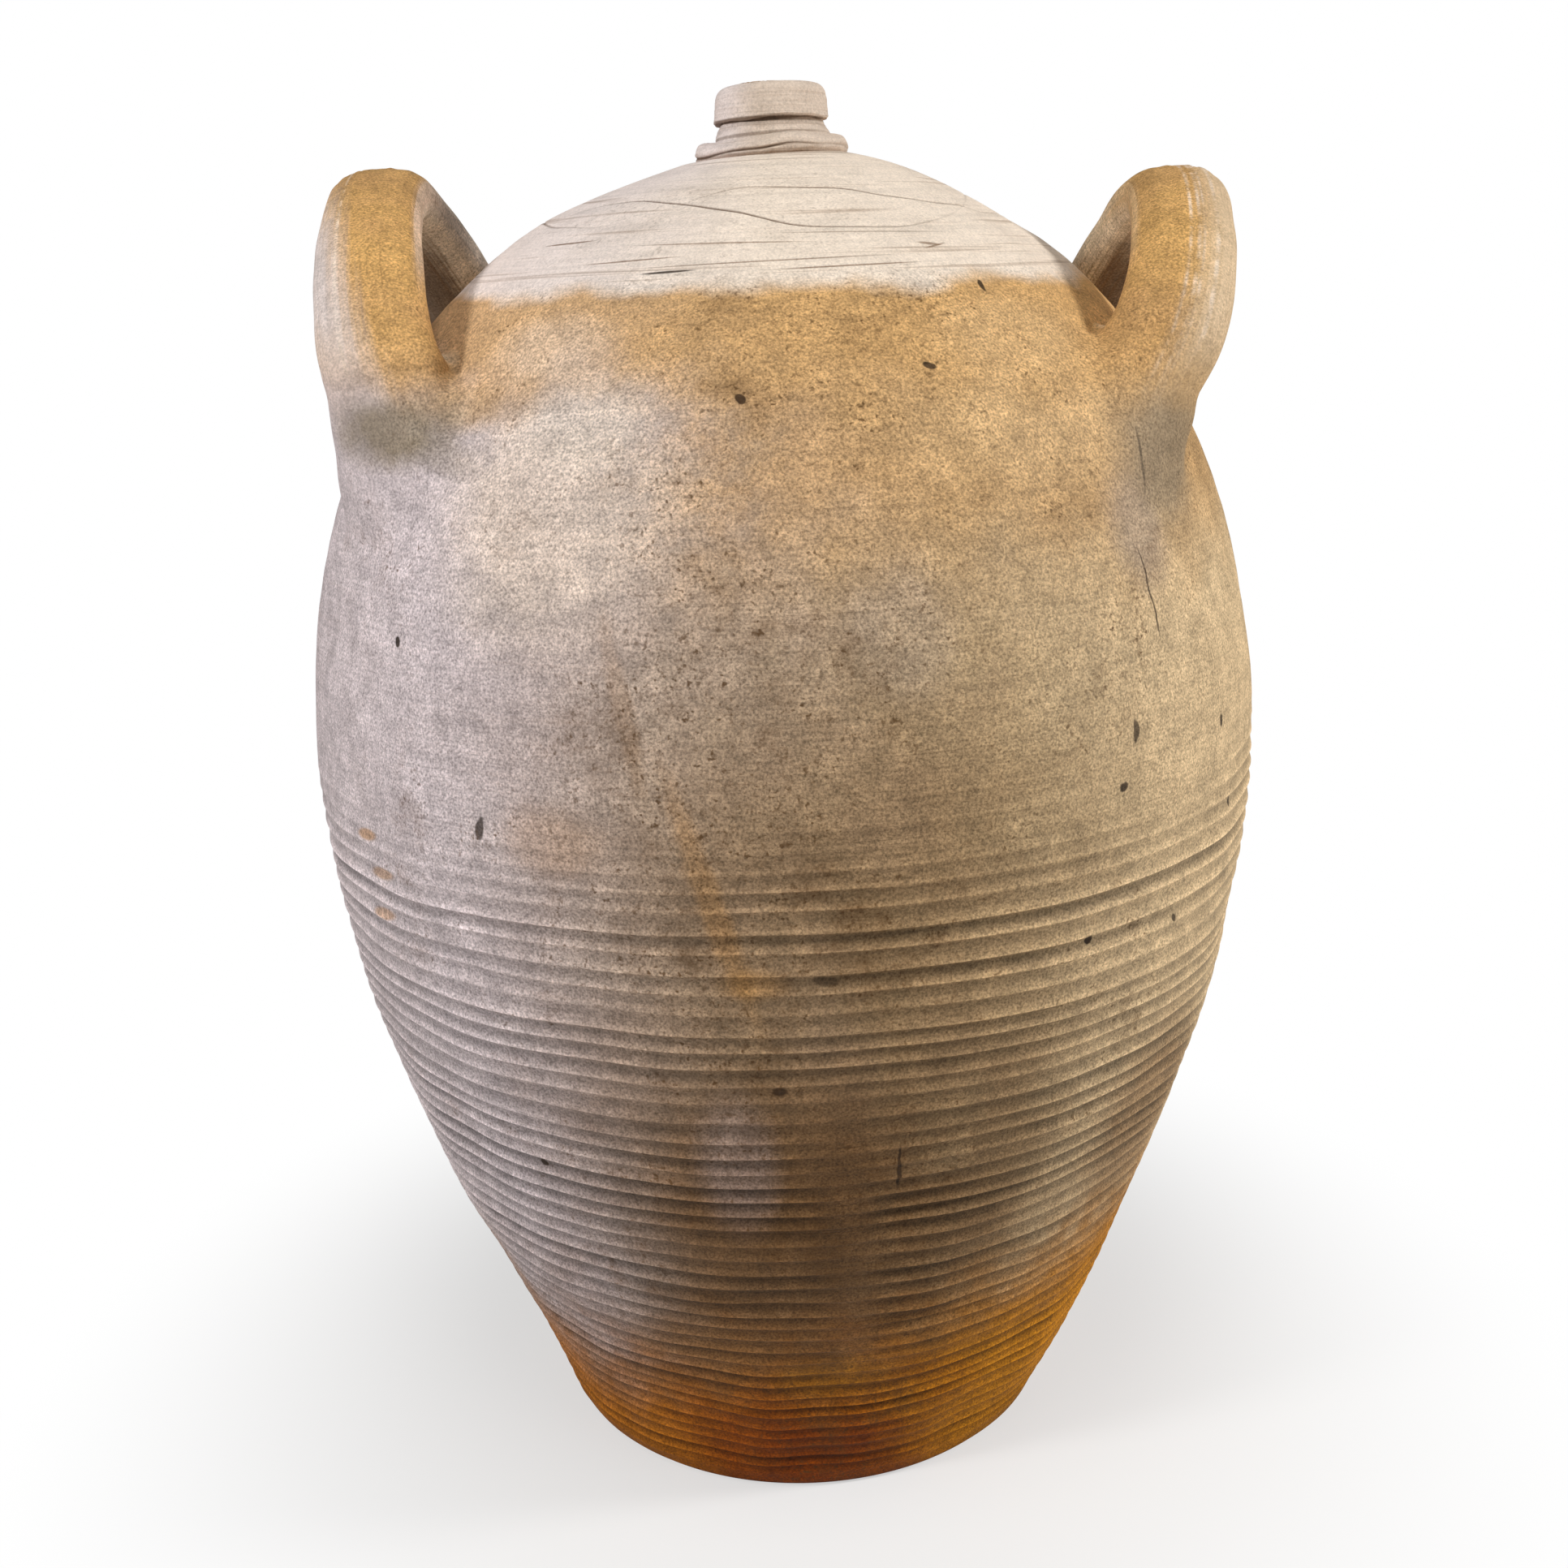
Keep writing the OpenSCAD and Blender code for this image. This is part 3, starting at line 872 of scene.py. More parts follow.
@dataclass(frozen=True)
class Root:
    """How the luting clay spreads round one root of a strap.

    Each value is for four sides of the strap in turn: the side that faces away from the other root, the side
    that faces it, the strap's outer edge and its inner edge.

    Attributes:
        out: How far the clay spreads over the wall.
        up: How far it reaches up the strap.
        hollow: How closely it follows the corner between wall and strap, from 0 to 1.
    """

    out: tuple[float, float, float, float]
    up: tuple[float, float, float, float]
    hollow: tuple[float, float, float, float] = (0.62, 0.62, 0.36, 0.62)


@dataclass(frozen=True)
class PulledHandle:
    """A strap pulled from a lump of clay and bent to an upright loop, with the clay luted round its roots.

    Attributes:
        prefix: The handle's side, as its nodes name it.
        side: -1 at the left and 1 at the right.
        rise: Rise of the middle line above its feet.
        out: How much further out the strap stands at the top.
        lean: Outward lean at the feet, in degrees.
        spread: How far the legs spread apart as they rise, in degrees.
        front: Angle from the side to the front foot, in degrees.
        back: Angle from the side to the back foot, in degrees.
        welts: Raised lines along the strap, as their place across it from -1 to 1.
    """

    surface: ThrownSurface
    prefix: str
    side: int
    rise: float
    out: float
    lean: float
    spread: float
    front: float
    back: float
    front_root: Root
    back_root: Root
    welts: tuple[float, ...]
    breadth: float = 38.5 * MM
    thickness: float = 23.5 * MM
    foot_z: float = 468 * MM
    foot_bite: float = 1.5 * MM
    squareness: float = 0.8
    root_down: float = 60 * MM
    root_in: float = 42 * MM
    top_hold: float = 34 * MM
    foot_hold: float = 17 * MM
    sides: int = 96
    rings: int = 220
    samples: int = 360

    def outward(self, end: int) -> np.ndarray:
        """Level direction from the axis to a foot, at the front where end is -1 and at the back where it is 1."""
        angle = math.radians(self.front if end < 0 else self.back)
        return np.array([self.side * math.cos(angle), end * math.sin(angle), 0])

    def foot(self, end: int) -> np.ndarray:
        """Where the middle line passes the level of the feet."""
        wall_r = self.surface.outline.place(self.surface.outline.at_height(np.array([self.foot_z])))[0, 0]
        return (wall_r + self.breadth / 2 - self.foot_bite) * self.outward(end) + np.array([0, 0, self.foot_z])

    def half_line(self, end: int) -> np.ndarray:
        """The middle line from deep inside the wall to the top of the arch, one point in each row."""
        foot, other = self.foot(end), self.foot(-end)
        chord = unit((self.foot(1) - self.foot(-1)) * np.array([1, 1, 0]))
        leg = np.array([
            self.side * math.tan(math.radians(self.lean)), end * math.tan(math.radians(self.spread)), 1])
        top = (foot + other) / 2 + np.array([self.side * self.out, 0, self.rise])
        deep = foot - self.root_in * self.outward(end) - np.array([0, 0, self.root_down])
        t = np.linspace(0, 1, self.samples)
        root = bezier([deep, foot - 0.5 * self.root_down * leg, foot - 0.25 * self.root_down * leg, foot], t)
        arch = bezier([foot, foot + self.foot_hold * leg, top + end * self.top_hold * chord, top], t[1:])
        return np.vstack([root, arch])

    def middle_line(self) -> np.ndarray:
        """The whole middle line in even steps, from the front root to the back one."""
        line = np.vstack([self.half_line(-1), self.half_line(1)[-2::-1]])
        gone = np.concatenate([[0], np.cumsum(np.linalg.norm(np.diff(line, axis=0), axis=1))])
        even = np.linspace(0, gone[-1], self.samples)
        line = np.column_stack([np.interp(even, gone, line[:, k]) for k in range(3)])
        for _ in range(6):
            line[1:-1] = (line[:-2] + 2 * line[1:-1] + line[2:]) / 4
        return line

    def skin(self, angles: np.ndarray) -> tuple[np.ndarray, np.ndarray, np.ndarray]:
        """The strap's face on a grid of angles round it and places along it.

        Args:
            angles: Angles round the section, in radians: 0 at the outer edge and a quarter turn on the top face.

        Returns:
            The points, the outward directions, and how far along the strap each place is.
        """
        line = self.middle_line()
        tangent = unit(np.gradient(line, axis=0))
        chord = unit((self.foot(1) - self.foot(-1)) * np.array([1, 1, 0]))
        across = np.cross([0, 0, 1], chord) * -self.side
        broad = unit(across - (tangent @ across)[:, None] * tangent)
        thick = np.cross(tangent, broad)
        if thick[len(thick) // 2, 2] < 0:
            thick = -thick
        gone = np.concatenate([[0], np.cumsum(np.linalg.norm(np.diff(line, axis=0), axis=1))])
        cos, sin = np.cos(angles)[:, None], np.sin(angles)[:, None]
        across_share = np.sign(cos) * np.abs(cos) ** self.squareness
        face_share = np.sign(sin) * np.abs(sin) ** self.squareness
        half_b = self.breadth / 2 * (0.97 + 0.2 * np.cos(gone / gone[-1] * math.pi) ** 2)
        half_t = self.thickness / 2 * (1 + 0.02 * np.cos(gone / gone[-1] * TAU))
        plain = line + (across_share * half_b)[..., None] * broad + (face_share * half_t)[..., None] * thick
        normal = unit(across_share[..., None] / self.breadth * broad + face_share[..., None] / self.thickness * thick)
        height = self.pulled_relief(across_share, face_share, gone[None, :])
        return plain + height[..., None] * normal, normal, np.broadcast_to(gone, height.shape)

    def pulled_relief(self, across: np.ndarray, face: np.ndarray, gone: np.ndarray) -> np.ndarray:
        """Height of the lengthwise marks of pulling, and of the hand's lumps.

        Args:
            across: Place across the strap, from -1 at its inner edge to 1 at its outer edge.
            face: Place through the strap, from -1 on its under face to 1 on its top face.
            gone: How far along the strap.
        """
        rng = np.random.default_rng(50 + self.side)
        lines = np.zeros(np.broadcast(across, gone).shape)
        girth = across + 0.25 * np.sin(3 * face)
        for _ in range(14):
            pitch, phase, drift = rng.uniform(0.12, 0.5), rng.uniform(0, TAU), rng.normal() * 2.5
            lines = lines + np.cos(TAU * girth / pitch + phase + drift * np.sin(gone * rng.uniform(8, 22)))
        lines = 0.035 * MM * lines
        for place in self.welts:
            wander = place + 0.03 * np.sin(gone * 31 + place * 9)
            lines = lines + 0.3 * MM * bell(across - wander, 0.055) * smooth(face, 0.1, 0.5)
        lumps = Unevenness(30 * MM, seed=60 + self.side, radius=14 * MM, stretch=1.0)
        return lines + 0.2 * MM * lumps.at(np.arctan2(face, across), gone + 0 * across)

    @staticmethod
    def along_skin(grid: np.ndarray, places: np.ndarray) -> np.ndarray:
        """Values of a grid at a fractional place along each of its rows.

        Args:
            grid: Angles by places, with or without a last axis.
            places: One row of places for each angle.
        """
        low = np.clip(np.floor(places).astype(int), 0, grid.shape[1] - 2)
        share = places - low
        rows = np.arange(grid.shape[0])[:, None]
        if grid.ndim == 3:
            share = share[..., None]
        return grid[rows, low] * (1 - share) + grid[rows, low + 1] * share

    def crossings(self, points: np.ndarray, depth: float, end: int) -> np.ndarray:
        """Where each line along the strap passes a depth under the jar's face, as a place along the grid.

        Args:
            points: The strap's face as a grid.
            depth: The depth, measured level.
            end: -1 for the front root and 1 for the back one.
        """
        clear = self.surface.outside(points) + depth
        if end > 0:
            clear = clear[:, ::-1]
        first = np.argmax(clear > 0, axis=1)
        rows = np.arange(len(clear))
        before, after = clear[rows, first - 1], clear[rows, first]
        place = first - 1 + before / (before - after)
        return place if end < 0 else clear.shape[1] - 1 - place

    def strap(self) -> bpy.types.Object:
        """The strap, from just inside the wall at one root to just inside it at the other."""
        piece = Bench.rolled(f"{self.prefix}_strap", self.sides, self.rings)
        co = Bench.places(piece)
        step = TAU / self.sides
        angle_index = np.round(np.arctan2(co[:, 1], co[:, 0]) / step).astype(int) % self.sides
        phase = np.arctan2(co[0, 1], co[0, 0])
        angles = np.arange(self.sides) * step + (phase - round(phase / step) * step)
        points, _, gone = self.skin(angles)
        depth = 3.5 * MM
        start, end = self.crossings(points, depth, -1), self.crossings(points, depth, 1)
        middle = np.hypot(co[:, 0], co[:, 1]) < 0.5
        share = co[:, 2]
        places = start[angle_index] + share * (end - start)[angle_index]
        low = np.clip(np.floor(places).astype(int), 0, points.shape[1] - 2)
        part = (places - low)[:, None]
        new = points[angle_index, low] * (1 - part) + points[angle_index, low + 1] * part
        lengths = gone[angle_index, low] * (1 - part[:, 0]) + gone[angle_index, low + 1] * part[:, 0]
        for cap in np.flatnonzero(middle):
            rim = ~middle & (np.abs(share - share[cap]) < 1e-4)
            new[cap] = new[rim].mean(axis=0)
        Bench.put(piece, new)
        a = angles[angle_index]
        Bench.mark(piece, "pulled", self.unbent(a, lengths))
        return Bench.finished(piece, 60)

    def unbent(self, angles: np.ndarray, gone: np.ndarray) -> np.ndarray:
        """Places on the strap before it was bent: across it, through it and along it."""
        across = np.sign(np.cos(angles)) * np.abs(np.cos(angles)) ** self.squareness
        face = np.sign(np.sin(angles)) * np.abs(np.sin(angles)) ** self.squareness
        return np.column_stack([across * self.breadth / 2, face * self.thickness / 2, gone])

    @staticmethod
    def spread_round(root: Root, angles: np.ndarray) -> tuple[np.ndarray, ...]:
        """How the luting clay spreads, by the angle round the strap.

        Args:
            root: The root's sizes.
            angles: Angles round the section, in radians.

        Returns:
            The distance over the wall, the distance up the strap and the hollow, for each angle.
        """
        cos, sin = np.cos(angles), np.sin(angles)
        weights = np.column_stack([np.maximum(v, 0) ** k for v, k in ((sin, 1.2), (-sin, 1.4), (cos, 1.4), (-cos, 1.4))])
        weights /= weights.sum(axis=1, keepdims=True)
        return tuple(weights @ np.array(values) for values in (root.out, root.up, root.hollow))

    def lute(self, end: int, root: Root) -> bpy.types.Object:
        """The clay pressed round one root and smeared out over the wall.

        Args:
            end: -1 for the front root and 1 for the back one.
            root: How far the clay spreads.

        Returns:
            The closed piece.
        """
        around, across, face_rows = 160, 64, 50
        name = f"{self.prefix}_{'front' if end < 0 else 'back'}_smear"
        piece = Bench.coiled(name, around, across)
        co = Bench.places(piece)
        angles = np.arange(around) * TAU / around
        points, normals, gone = self.skin(angles)
        meet = self.crossings(points, 0, end)
        out, up, hollow = self.spread_round(root, angles)
        at = lambda grid, place: self.along_skin(grid, place[:, None])[:, 0]
        meet_gone = at(gone, meet)
        edge_place = np.array([
            np.interp(g, row, np.arange(len(row))) for g, row in zip(meet_gone - end * up, gone)])
        edge, corner = at(points, edge_place), at(points, meet)
        down = unit(at(points, edge_place + end * 0.5) - edge)
        strap_out = at(normals, edge_place)
        walker, heading = corner.copy(), at(normals, meet)
        for _ in range(16):
            wall_out = self.surface.outward(walker)
            heading = unit(heading - (heading * wall_out).sum(axis=1)[:, None] * wall_out)
            walker = self.surface.onto(walker + heading * out[:, None] / 16)
        wall_out = self.surface.outward(walker)
        pull_up, pull_out = (hollow * up)[:, None], (hollow * out)[:, None]
        rim = walker - wall_out * 0.45 * MM
        top = edge - strap_out * 0.35 * MM
        t = np.linspace(0, 1, face_rows)
        controls = [top, top + down * pull_up, rim - heading * pull_out, rim]
        face = np.stack([
            (1 - u) ** 3 * controls[0] + 3 * (1 - u) ** 2 * u * controls[1]
            + 3 * (1 - u) * u * u * controls[2] + u ** 3 * controls[3] for u in t], axis=1)
        smear = Unevenness(14 * MM, seed=70 + end + 3 * self.side, radius=28 * MM)
        finger = Unevenness(6 * MM, seed=80 + end + 3 * self.side, radius=28 * MM, stretch=0.6)
        grid_turn, grid_t = np.meshgrid(angles, t * 40 * MM, indexing="ij")
        bump = 0.4 * MM * smear.at(grid_turn, grid_t) + 0.09 * MM * finger.at(grid_turn, grid_t)
        bump *= smooth(out, 4 * MM, 24 * MM)[:, None]
        slope = unit(strap_out[:, None, :] * (1 - t)[None, :, None] + wall_out[:, None, :] * t[None, :, None])
        face = face + slope * (bump * np.sin(math.pi * t)[None, :] ** 0.7)[..., None]
        hidden_rows = across - face_rows
        s = np.linspace(0, 1, hidden_rows + 2)[1:-1]
        deep = corner - (strap_out + wall_out) * 4 * MM
        rim_in, top_in = rim - wall_out * 1.5 * MM, top - strap_out * 1.5 * MM
        back = np.stack([(1 - u) ** 2 * rim_in + 2 * (1 - u) * u * deep + u * u * top_in for u in s], axis=1)
        grid = np.concatenate([face, back], axis=1)
        major = np.round(np.arctan2(co[:, 1], co[:, 0]) / (TAU / around)).astype(int) % around
        ring = np.hypot(co[:, 0], co[:, 1]) - 1
        minor = np.round(np.arctan2(co[:, 2], ring) / (TAU / across)).astype(int) % across
        Bench.put(piece, grid[major, minor])
        lengths = np.broadcast_to(at(gone, edge_place)[:, None], grid.shape[:2])[major, minor]
        spread = np.where(minor < face_rows, minor / (face_rows - 1), 1.0)
        fall = np.clip(minor, 0, face_rows) / face_rows * up[major]
        Bench.mark(piece, "pulled", self.unbent(angles[major], lengths + end * fall))
        Bench.mark(piece, "spread", spread)
        return Bench.finished(piece, 75)

    def build(self) -> dict[str, bpy.types.Object]:
        """Makes the strap and the clay round its two roots.

        Returns:
            Each piece by the node that it stands for.
        """
        return {
            f"{self.prefix}_handle": self.strap(),
            f"{self.prefix}_front_lute": self.lute(-1, self.front_root),
            f"{self.prefix}_back_lute": self.lute(1, self.back_root),
        }


class Finish:
    """A material under construction: its node tree and its Principled shader."""

    def __init__(self, name: str) -> None:
        """Starts the material with nothing but its shader and output."""
        self.material = bpy.data.materials.new(name)
        self.material.use_nodes = True
        self.tree = self.material.node_tree
        self.shader = self.tree.nodes["Principled BSDF"]

    def add(self, kind: str, inputs: dict | None = None, out: int | str = 0, **settings) -> bpy.types.NodeSocket:
        """Adds one node with its settings and links.

        Args:
            kind: The node's type.
            inputs: A socket to link from, or a constant, for each input by its name or number.
            out: The output to return.
            **settings: The node's own settings.

        Returns:
            The chosen output.
        """
        node = self.tree.nodes.new(kind)
        for key, value in settings.items():
            setattr(node, key, value)
        for key, value in (inputs or {}).items():
            if isinstance(value, bpy.types.NodeSocket):
                self.tree.links.new(value, node.inputs[key])
            else:
                node.inputs[key].default_value = value
        return node.outputs[out]

    def finish(self, colour: bpy.types.NodeSocket, roughness: bpy.types.NodeSocket,
               height: bpy.types.NodeSocket, ior: float = 1.4) -> bpy.types.Material:
        """Links colour, roughness and relief to the shader.

        Args:
            colour: The surface's colour.
            roughness: Its roughness.
            height: Its fine relief, in metres.
            ior: Its refractive index.

        Returns:
            The material.
        """
        bump = self.add("ShaderNodeBump", {"Height": height, "Distance": 1.0, "Strength": 1.0})
        self.tree.links.new(colour, self.shader.inputs["Base Color"])
        self.tree.links.new(roughness, self.shader.inputs["Roughness"])
        self.tree.links.new(bump, self.shader.inputs["Normal"])
        self.shader.inputs["IOR"].default_value = ior
        self.shader.inputs["Specular IOR Level"].default_value = 0.18
        return self.material


@dataclass(frozen=True)
class ColourPatch:
    """A patch of colour on the jar.

    Attributes:
        tone: Its colour.
        turn: Turn of its middle from the front, in degrees.
        height: Height of its middle.
        wide: Half its breadth round the jar.
        high: Half its height.
        strength: How much it covers, from 0 to 1.
        tilt: How far it leans to the left, in degrees.
        soft: How soft its edge is, from 0 to 1.
        deep: How far it reaches off the plain outline, for a patch on a root.
    """

    tone: Tone
    turn: float
    height: float
    wide: float
    high: float
    strength: float
    tilt: float = 0.0
    soft: float = 0.9
    deep: float = 12 * MM


@dataclass(frozen=True)
class FiredStoneware:
    """Salt-fired stoneware with a bare crown.

    Salt vapour glazes it to a thin, satin skin over sandy clay, so the eye gets a fine pepper of iron
    specks, a soft drift from lilac grey to tan, an amber flash at the foot and a dry, pale crown.

    Attributes:
        grain: Size of the sand grains that the skin shows.
        specks: Size of the iron specks.
        clouds: Size of the drifts of colour.
        peel: Size of the skin's orange peel.
    """

    surface: ThrownSurface
    grain: float = 0.9 * MM
    specks: float = 3.0 * MM
    clouds: float = 55 * MM
    peel: float = 3.6 * MM
    border: float = 494 * MM

    BROAD_STAINS = (
        ColourPatch(Tone.PINK, -26, 425 * MM, 62 * MM, 62 * MM, 0.7),
        ColourPatch(Tone.BARE, -23, 455 * MM, 34 * MM, 26 * MM, 0.35),
        ColourPatch(Tone.COOL, -48, 400 * MM, 60 * MM, 60 * MM, 0.5),
        ColourPatch(Tone.PALE_TAN, 34, 446 * MM, 75 * MM, 34 * MM, 0.7),
        ColourPatch(Tone.TAN, 150, 440 * MM, 150 * MM, 60 * MM, 0.5),
        ColourPatch(Tone.ASH, 12, 385 * MM, 26 * MM, 30 * MM, 0.3),
        ColourPatch(Tone.ASH, 44, 408 * MM, 22 * MM, 30 * MM, 0.45),
        ColourPatch(Tone.SMOKE, 52, 430 * MM, 34 * MM, 38 * MM, 0.75),
        ColourPatch(Tone.PALE_TAN, -42, 457 * MM, 24 * MM, 12 * MM, 0.5),
        ColourPatch(Tone.ASH, -30, 392 * MM, 34 * MM, 12 * MM, 0.25),
        ColourPatch(Tone.UMBER, -2, 182 * MM, 66 * MM, 70 * MM, 0.55),
        ColourPatch(Tone.UMBER, 52, 170 * MM, 54 * MM, 66 * MM, 0.65),
        ColourPatch(Tone.UMBER, 165, 170 * MM, 130 * MM, 80 * MM, 0.6),
        ColourPatch(Tone.COOL, -7, 190 * MM, 20 * MM, 44 * MM, 0.2),
        ColourPatch(Tone.DEEP_UMBER, 4.5, 165 * MM, 16 * MM, 90 * MM, 0.32, tilt=4),
    )
    STAINS_AND_PAINTED_SHADE = (
        ColourPatch(Tone.SMOKE, -50, 449 * MM, 34 * MM, 18 * MM, 0.9, deep=60 * MM),
        ColourPatch(Tone.SMOKE, -43, 441 * MM, 26 * MM, 8 * MM, 0.4, tilt=14, deep=40 * MM),
        ColourPatch(Tone.PINK, -31, 476 * MM, 34 * MM, 16 * MM, 0.4),
        ColourPatch(Tone.PALE_TAN, 36, 474 * MM, 46 * MM, 20 * MM, 0.55),
        ColourPatch(Tone.UMBER, -14, 92 * MM, 44 * MM, 20 * MM, 0.55),
        ColourPatch(Tone.DEEP_UMBER, -16, 122 * MM, 34 * MM, 9 * MM, 0.45),
        ColourPatch(Tone.DEEP_UMBER, -28, 64 * MM, 30 * MM, 9 * MM, 0.35, tilt=-10),
        ColourPatch(Tone.DEEP_UMBER, 16, 108 * MM, 26 * MM, 7 * MM, 0.5, tilt=-8),
        ColourPatch(Tone.OCHRE, 4, 74 * MM, 30 * MM, 18 * MM, 0.35),
        ColourPatch(Tone.RUST, -7.5, 296 * MM, 7 * MM, 60 * MM, 0.3, tilt=-17),
        ColourPatch(Tone.RUST, -15.5, 362 * MM, 5 * MM, 42 * MM, 0.16, tilt=-12),
        ColourPatch(Tone.RUST, -4, 267 * MM, 16 * MM, 8 * MM, 0.34),
        ColourPatch(Tone.RUST, -24, 316 * MM, 26 * MM, 18 * MM, 0.22),
        ColourPatch(Tone.RUST, -53, 302 * MM, 11 * MM, 3 * MM, 0.6, tilt=-8, soft=0.6),
        ColourPatch(Tone.RUST, -50, 289 * MM, 13 * MM, 3 * MM, 0.5, tilt=-8, soft=0.6),
        ColourPatch(Tone.RUST, -51, 272 * MM, 12 * MM, 3 * MM, 0.5, tilt=-8, soft=0.6),
        ColourPatch(Tone.IRON, -32.3, 318 * MM, 2.4 * MM, 5.5 * MM, 0.85, soft=0.5),
        ColourPatch(Tone.IRON, 3.4, 267.5 * MM, 6.5 * MM, 2.6 * MM, 0.6, tilt=10, soft=0.7),
        ColourPatch(Tone.IRON, -3.5, 458.4 * MM, 2.3 * MM, 1.7 * MM, 0.95, soft=0.4),
        ColourPatch(Tone.IRON, 20.8, 466.2 * MM, 2.4 * MM, 1.3 * MM, 0.9, soft=0.4),
        ColourPatch(Tone.IRON, 35.9, 491 * MM, 1.4 * MM, 2.4 * MM, 0.9, soft=0.4),
        ColourPatch(Tone.IRON, -44.8, 378 * MM, 1.6 * MM, 2.0 * MM, 0.95, soft=0.4),
        ColourPatch(Tone.IRON, 32.7, 267 * MM, 2.4 * MM, 2.2 * MM, 0.95, soft=0.4),
        ColourPatch(Tone.IRON, 38.7, 340 * MM, 1.8 * MM, 4.5 * MM, 0.8, soft=0.5),
        ColourPatch(Tone.IRON, 55.4, 332 * MM, 1.5 * MM, 3.2 * MM, 0.9, soft=0.5),
        ColourPatch(Tone.IRON, 36.5, 321.5 * MM, 2.6 * MM, 1.7 * MM, 0.9, soft=0.5),
        ColourPatch(Tone.IRON, 59, 297 * MM, 1.2 * MM, 2.6 * MM, 0.9, soft=0.5),
        ColourPatch(Tone.IRON, 47, 262 * MM, 1.6 * MM, 1.9 * MM, 0.85, soft=0.5),
        ColourPatch(Tone.IRON, -1.7, 224 * MM, 3.2 * MM, 2.4 * MM, 0.85, soft=0.6),
        ColourPatch(Tone.IRON, -33, 178 * MM, 2.2 * MM, 1.8 * MM, 0.9, soft=0.5),
        ColourPatch(Tone.IRON, 11.6, 186 * MM, 0.9 * MM, 13 * MM, 0.85, soft=0.5),
        ColourPatch(Tone.IRON, 43.6, 385 * MM, 0.7 * MM, 20 * MM, 0.8, tilt=-7, soft=0.5),
        ColourPatch(Tone.IRON, 47.5, 430 * MM, 0.8 * MM, 15 * MM, 0.55, tilt=6, soft=0.6),
        ColourPatch(Tone.IRON, -16, 499.6 * MM, 12 * MM, 0.5 * MM, 0.9, tilt=-2, soft=0.6),
        ColourPatch(Tone.UMBER, -42, 511.5 * MM, 16 * MM, 0.35 * MM, 0.8, tilt=-2, soft=0.7),
        ColourPatch(Tone.UMBER, -24, 504 * MM, 24 * MM, 0.35 * MM, 0.7, tilt=-2, soft=0.7),
        ColourPatch(Tone.UMBER, 31, 506.3 * MM, 6 * MM, 0.7 * MM, 0.7, tilt=6, soft=0.8),
        ColourPatch(Tone.UMBER, 32, 505.5 * MM, 7 * MM, 0.4 * MM, 0.7, tilt=-9, soft=0.8),
        ColourPatch(Tone.UMBER, 14, 499.5 * MM, 34 * MM, 0.35 * MM, 0.7, tilt=-1, soft=0.7),
        ColourPatch(Tone.UMBER, -8, 508.7 * MM, 40 * MM, 0.35 * MM, 0.6, tilt=1, soft=0.7),
        ColourPatch(Tone.UMBER, 0, 502 * MM, 60 * MM, 0.3 * MM, 0.6, tilt=-1, soft=0.7),
        ColourPatch(Tone.UMBER, 20, 511 * MM, 40 * MM, 0.3 * MM, 0.5, tilt=1, soft=0.7),
        # Painted shade: dark bands under the lip, on the neck and at the collar's foot.
        ColourPatch(Tone.DEEP_UMBER, 0, 557.2 * MM, 70 * MM, 1.3 * MM, 0.75, soft=0.8),
        ColourPatch(Tone.DEEP_UMBER, -20, 551.5 * MM, 60 * MM, 1.0 * MM, 0.5, tilt=-2, soft=0.8),
        ColourPatch(Tone.UMBER, 0, 543.6 * MM, 70 * MM, 1.3 * MM, 0.45, soft=0.8),
        ColourPatch(Tone.IRON, 100, 350 * MM, 2.2 * MM, 2.2 * MM, 0.9, soft=0.5),
        ColourPatch(Tone.IRON, 150, 290 * MM, 2.6 * MM, 1.8 * MM, 0.9, soft=0.5),
        ColourPatch(Tone.IRON, -160, 380 * MM, 1.8 * MM, 2.6 * MM, 0.9, soft=0.5),
        ColourPatch(Tone.IRON, -100, 300 * MM, 2.0 * MM, 3.0 * MM, 0.9, soft=0.5),
    )

    def place_of(self, finish: Finish) -> dict[str, bpy.types.NodeSocket]:
        """The place on the jar and the noises that all layers share.

        Args:
            finish: The material under construction.

        Returns:
            Sockets by name: the place, the height, the side, and noises of several sizes.
        """
        add = finish.add
        place = add("ShaderNodeTexCoord", out="Object")
        x = add("ShaderNodeSeparateXYZ", {0: place}, out="X")
        height = add("ShaderNodeSeparateXYZ", {0: place}, out="Z")
        level = add("ShaderNodeVectorMath", {0: place, 1: (1, 1, 0)}, operation="MULTIPLY")
        radius = add("ShaderNodeVectorMath", {0: level}, out="Value", operation="LENGTH")
        side = add("ShaderNodeMath", {0: x, 1: radius}, operation="DIVIDE")
        noise = {
            name: add("ShaderNodeTexNoise", {"Vector": place, "Scale": 1 / size, "Detail": detail, "Roughness": rough})
            for name, size, detail, rough in (
                ("grain", self.grain, 2.0, 0.6), ("speck", self.specks, 3.0, 0.7),
                ("cloud", self.clouds, 3.0, 0.55), ("peel", self.peel, 1.0, 0.5),
                ("mottle", 11 * MM, 4.0, 0.62), ("iron", 1.7 * MM, 1.0, 0.5),
                ("smudge", 26 * MM, 5.0, 0.66))}
        stretched = add("ShaderNodeVectorMath", {0: place, 1: (9, 9, 640)}, operation="MULTIPLY")
        noise["wiped"] = add("ShaderNodeTexNoise", {"Vector": stretched, "Scale": 1.0, "Detail": 2.0, "Roughness": 0.6})
        ragged = add("ShaderNodeTexNoise", {
            "Vector": place, "Scale": 1 / (9 * MM), "Detail": 2.0}, out="Color")
        shifted = add("ShaderNodeVectorMath", {
            0: ragged, 1: (4 * MM, 4 * MM, 4 * MM), 2: place}, operation="MULTIPLY_ADD")
        centred = add("ShaderNodeVectorMath", {0: shifted, 1: (-2 * MM, -2 * MM, -2 * MM)}, operation="ADD")
